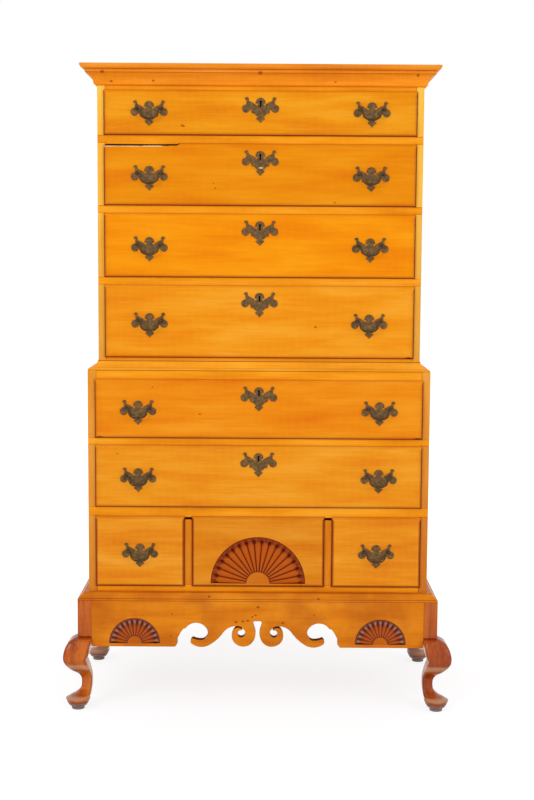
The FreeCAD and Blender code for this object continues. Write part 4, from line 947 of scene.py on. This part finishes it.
# a leg's outer and inner face, counted outwards from its block's outer face, at heights from the pad up,
# and how square its section is: 2 is round
LEG_LINE = np.array([
    # height, outer, inner, squareness
    (33, 32.4, -33, 2), (37.6, 22, -35, 2.3), (43, 8.6, -36.2, 2.8), (54, -4.6, -37.4, 4.5),
    (66, -8.6, -38.6, 7), (83, -8.8, -39, 9), (94, -5, -38.4, 9), (103, 2, -37.2, 9), (114, 16, -35.6, 8.5),
    (128, 29, -32.6, 8), (141, 36.4, -28.6, 8), (150, 38.8, -27, 8), (163, 38.9, -33.6, 8),
    (180, 34.6, -36.2, 9), (191, 29.2, -38, 10), (201, 21.5, -38.8, 12), (207, 10, -39, 12),
    (209.8, 0.5, -39, 20),
])
# radius and height of the turned pad and its worn disc, and the heights of its ring lines
FOOT_LINE = np.array([
    (0.4, 0), (17.6, 0), (18.5, 0.8), (18.5, 8.6), (18, 9.8), (21.5, 10.4), (25, 11.4), (27.2, 14),
    (26.6, 14.8), (29.2, 17.2), (31, 20.4), (30.6, 21.2), (32.6, 24.6), (34.2, 28.4), (34.9, 31),
    (34.4, 32.2),
])
FOOT_RINGS = (0.0, 9.8, 14.6, 21.0)
BLOCK_WIDTH, BLOCK_FOOT, BLOCK_EASE, LEG_LEVELS, LEG_COLUMNS = 39.0, 210.0, 1.2, 84, 72


def leg_rings():
    """A bent leg standing on the outer corner of its block, its knee out to +X and +Y.

    Each level section is the curve whose distance from its middle at an angle is half its width over the
    squareness-root of the sum of cosine and sine raised to the squareness: round in the pad, square above it.
    """
    angle = np.linspace(0, 2 * math.pi, LEG_COLUMNS, endpoint=False)
    radius, level = FOOT_LINE.T
    foot = np.column_stack([level, radius, -radius, np.full(len(level), 2.0)])
    height, outer, inner, power = np.vstack([foot, flowing(LEG_LINE, LEG_LEVELS)]).T[:, :, None]
    half, middle = (outer - inner) / 2, (outer + inner) / 2
    reach = half * (np.abs(np.cos(angle))**power + np.abs(np.sin(angle))**power) ** (-1 / power)
    x = middle + reach * np.cos(angle)
    y = middle + reach * np.sin(angle)
    return np.stack([x, y, np.broadcast_to(height, x.shape)], -1)


rings = leg_rings()
level = rings[:, :, 2]
ring_lines = np.max([near(level, ring, 0.3, 1.4) for ring in FOOT_RINGS], axis=0)
corner_turn = np.abs(np.linspace(0, 4, LEG_COLUMNS, endpoint=False) % 1 - 0.5)
corners = (1 - ease(corner_turn, 0.02, 0.09)) * within(level, 46, 60, 200, 206)
# darker near the floor: old grime; darker under the block and along the leg's corners: painted shade
grime_and_shade = np.max([0.75 * (1 - ease(level, 6, 24)), 0.9 * ease(level, 203, 209), 0.75 * corners], axis=0)
# painted highlight: pale where the knee turns under, and round the pad's top edge
painted_highlight = np.maximum(0.30 * near(level, 126, 4, 13), 0.22 * near(level, 34, 2, 6))
# the pad's bottom disc and rings are worn grey; the band at its top edge is a painted highlight
worn_disc_and_highlight = np.max([0.95 * (1 - ease(level, 7.5, 10.2)), 0.6 * (1 - ease(level, 17, 21)),
                    0.2 * near(level, 35, 1, 4)], axis=0)
# the back feet are also greyer below 70 mm: painted shade under the case
grey_foot_and_shade = np.maximum(worn_disc_and_highlight, 0.4 * (1 - ease(level, 40, 70)))
for place, along, grey in (("front", -1, worn_disc_and_highlight), ("back", 1, grey_foot_and_shade)):
    for label, across in SIDES:
        corner = np.array([across * frame_high[0], along * frame_high[1], 0])
        leg = shell(rings * (across, along, 1) + corner)
        x, y = np.sort([corner[:2], corner[:2] - BLOCK_WIDTH * np.array([across, along])], axis=0).T
        block = softened((x[0], y[0], BLOCK_FOOT), (x[1], y[1], high[2]), BLOCK_EASE)
        # painted shade: the right legs darker all over, the left ones only below the knee
        dull, block_dull = (0.5, 0.3) if across > 0 else (0.2 * (1 - ease(level, 100, 130)), 0.0)
        # the pad's ring lines get near-black painted shade in their steps
        piece(f"leg_{place}_{label}", [leg, block], leg_maple, "carcase", ["cabriole_legs"],
              crease=45, values={"edge": [np.maximum(grime_and_shade, dull), block_dull], "painted_shadow": [0.6 * ring_lines, 0],
                                 "bare_wood_and_highlight": [painted_highlight, 0], "dust": [grey, 0]})


# Floor, light and camera

def looked_at(add):
    """1 where the eye, gloss or glass looks at a surface, 0 where light from it falls on other things."""
    ray = add("LightPath").outputs
    seen = add("Math", {0: ray["Is Camera Ray"], 1: ray["Is Glossy Ray"]}, operation="MAXIMUM")
    return add("Math", {0: seen, 1: ray["Is Transmission Ray"]}, operation="MAXIMUM")


# half the floor's width in metres
FLOOR_HALF = 12
WHITE = paint("#ffffff")
floor_material, add, shader, where = new_material("painted_studio_floor")
speck = add("TexNoise", {"Vector": where, "Scale": 1 / (400 * MM)})
tone = add("ValToRGB", {"Fac": speck}, stops=((0.3, "#f4f4f4"), (0.7, "#f8f8f8")))
feed(shader, {"Base Color": tone, "Roughness": 0.9, "Specular IOR Level": 0.0})
# to the eye, and in gloss, the floor glows white with only a faint shadow; its glow is dimmer near the
# middle, a painted shade round the chest, and rises to full white further out
away = add("VectorMath", {0: where}, operation="LENGTH")
white = add("MapRange", {"Value": away, "From Min": 0.5, "From Max": 1.7, "To Min": 0.80, "To Max": 1.0})
glow = add("Emission", {"Color": WHITE, "Strength": white})
paper = add("AddShader", {0: glow, 1: add("BsdfDiffuse", {"Color": paint("#8f8f91")})})
mixed = add("MixShader", {0: looked_at(add), 1: shader, 2: paper})
feed(floor_material.node_tree.nodes["Material Output"], {"Surface": mixed})
floor_mesh = bpy.data.meshes.new("studio_floor")
floor_corners = np.array([(-1, -1, 0), (1, -1, 0), (1, 1, 0), (-1, 1, 0)]) * FLOOR_HALF
floor_mesh.from_pydata(floor_corners.tolist(), [], [(0, 1, 2, 3)])
floor_mesh.materials.append(floor_material)
floor = bpy.data.objects.new("studio_floor", floor_mesh)
scene.collection.objects.link(floor)

world = bpy.data.worlds.new("studio")
scene.world = world
world.use_nodes = True
add = partial(add_to, world.node_tree)
strength = add("MapRange", {"Value": looked_at(add), "To Min": 0.63, "To Max": 1.0})
feed(world.node_tree.nodes["Background"], {"Color": WHITE, "Strength": strength})

for name, place, aim, size, power in (
    ("key_lamp", (-2.6, -3.4, 3.2), (0, 0, 0.9), 2.2, 67),
    ("fill_lamp", (2.9, -3.0, 2.2), (0, 0, 0.8), 2.4, 43),
):
    lamp = bpy.data.lights.new(name, "AREA")
    lamp.shape = "SQUARE"
    lamp.size = size
    lamp.energy = power
    holder = bpy.data.objects.new(name, lamp)
    holder.location = place
    holder.rotation_euler = (Vector(aim) - Vector(place)).to_track_quat("-Z", "Y").to_euler()
    scene.collection.objects.link(holder)

# the focal length and the picture's height in pixels; place in metres, angles in degrees
FOCAL_PIXELS, PICTURE_HEIGHT, SENSOR = 1391.5, 800, 36.0
CAMERA_PLACE, LOOK_DOWN, ROLL = (0.0230, -4.1395, 1.3048), 6.009, 0.366
camera = bpy.data.cameras.new("camera")
camera.sensor_fit = "VERTICAL"
camera.sensor_height = SENSOR
camera.lens = SENSOR * FOCAL_PIXELS / PICTURE_HEIGHT
holder = bpy.data.objects.new("camera", camera)
tilt = Matrix.Rotation(math.radians(90 - LOOK_DOWN), 4, "X")
holder.matrix_world = Matrix.Translation(CAMERA_PLACE) @ tilt @ Matrix.Rotation(math.radians(ROLL), 4, "Z")
scene.collection.objects.link(holder)
scene.camera = holder
scene.view_settings.view_transform = "Standard"
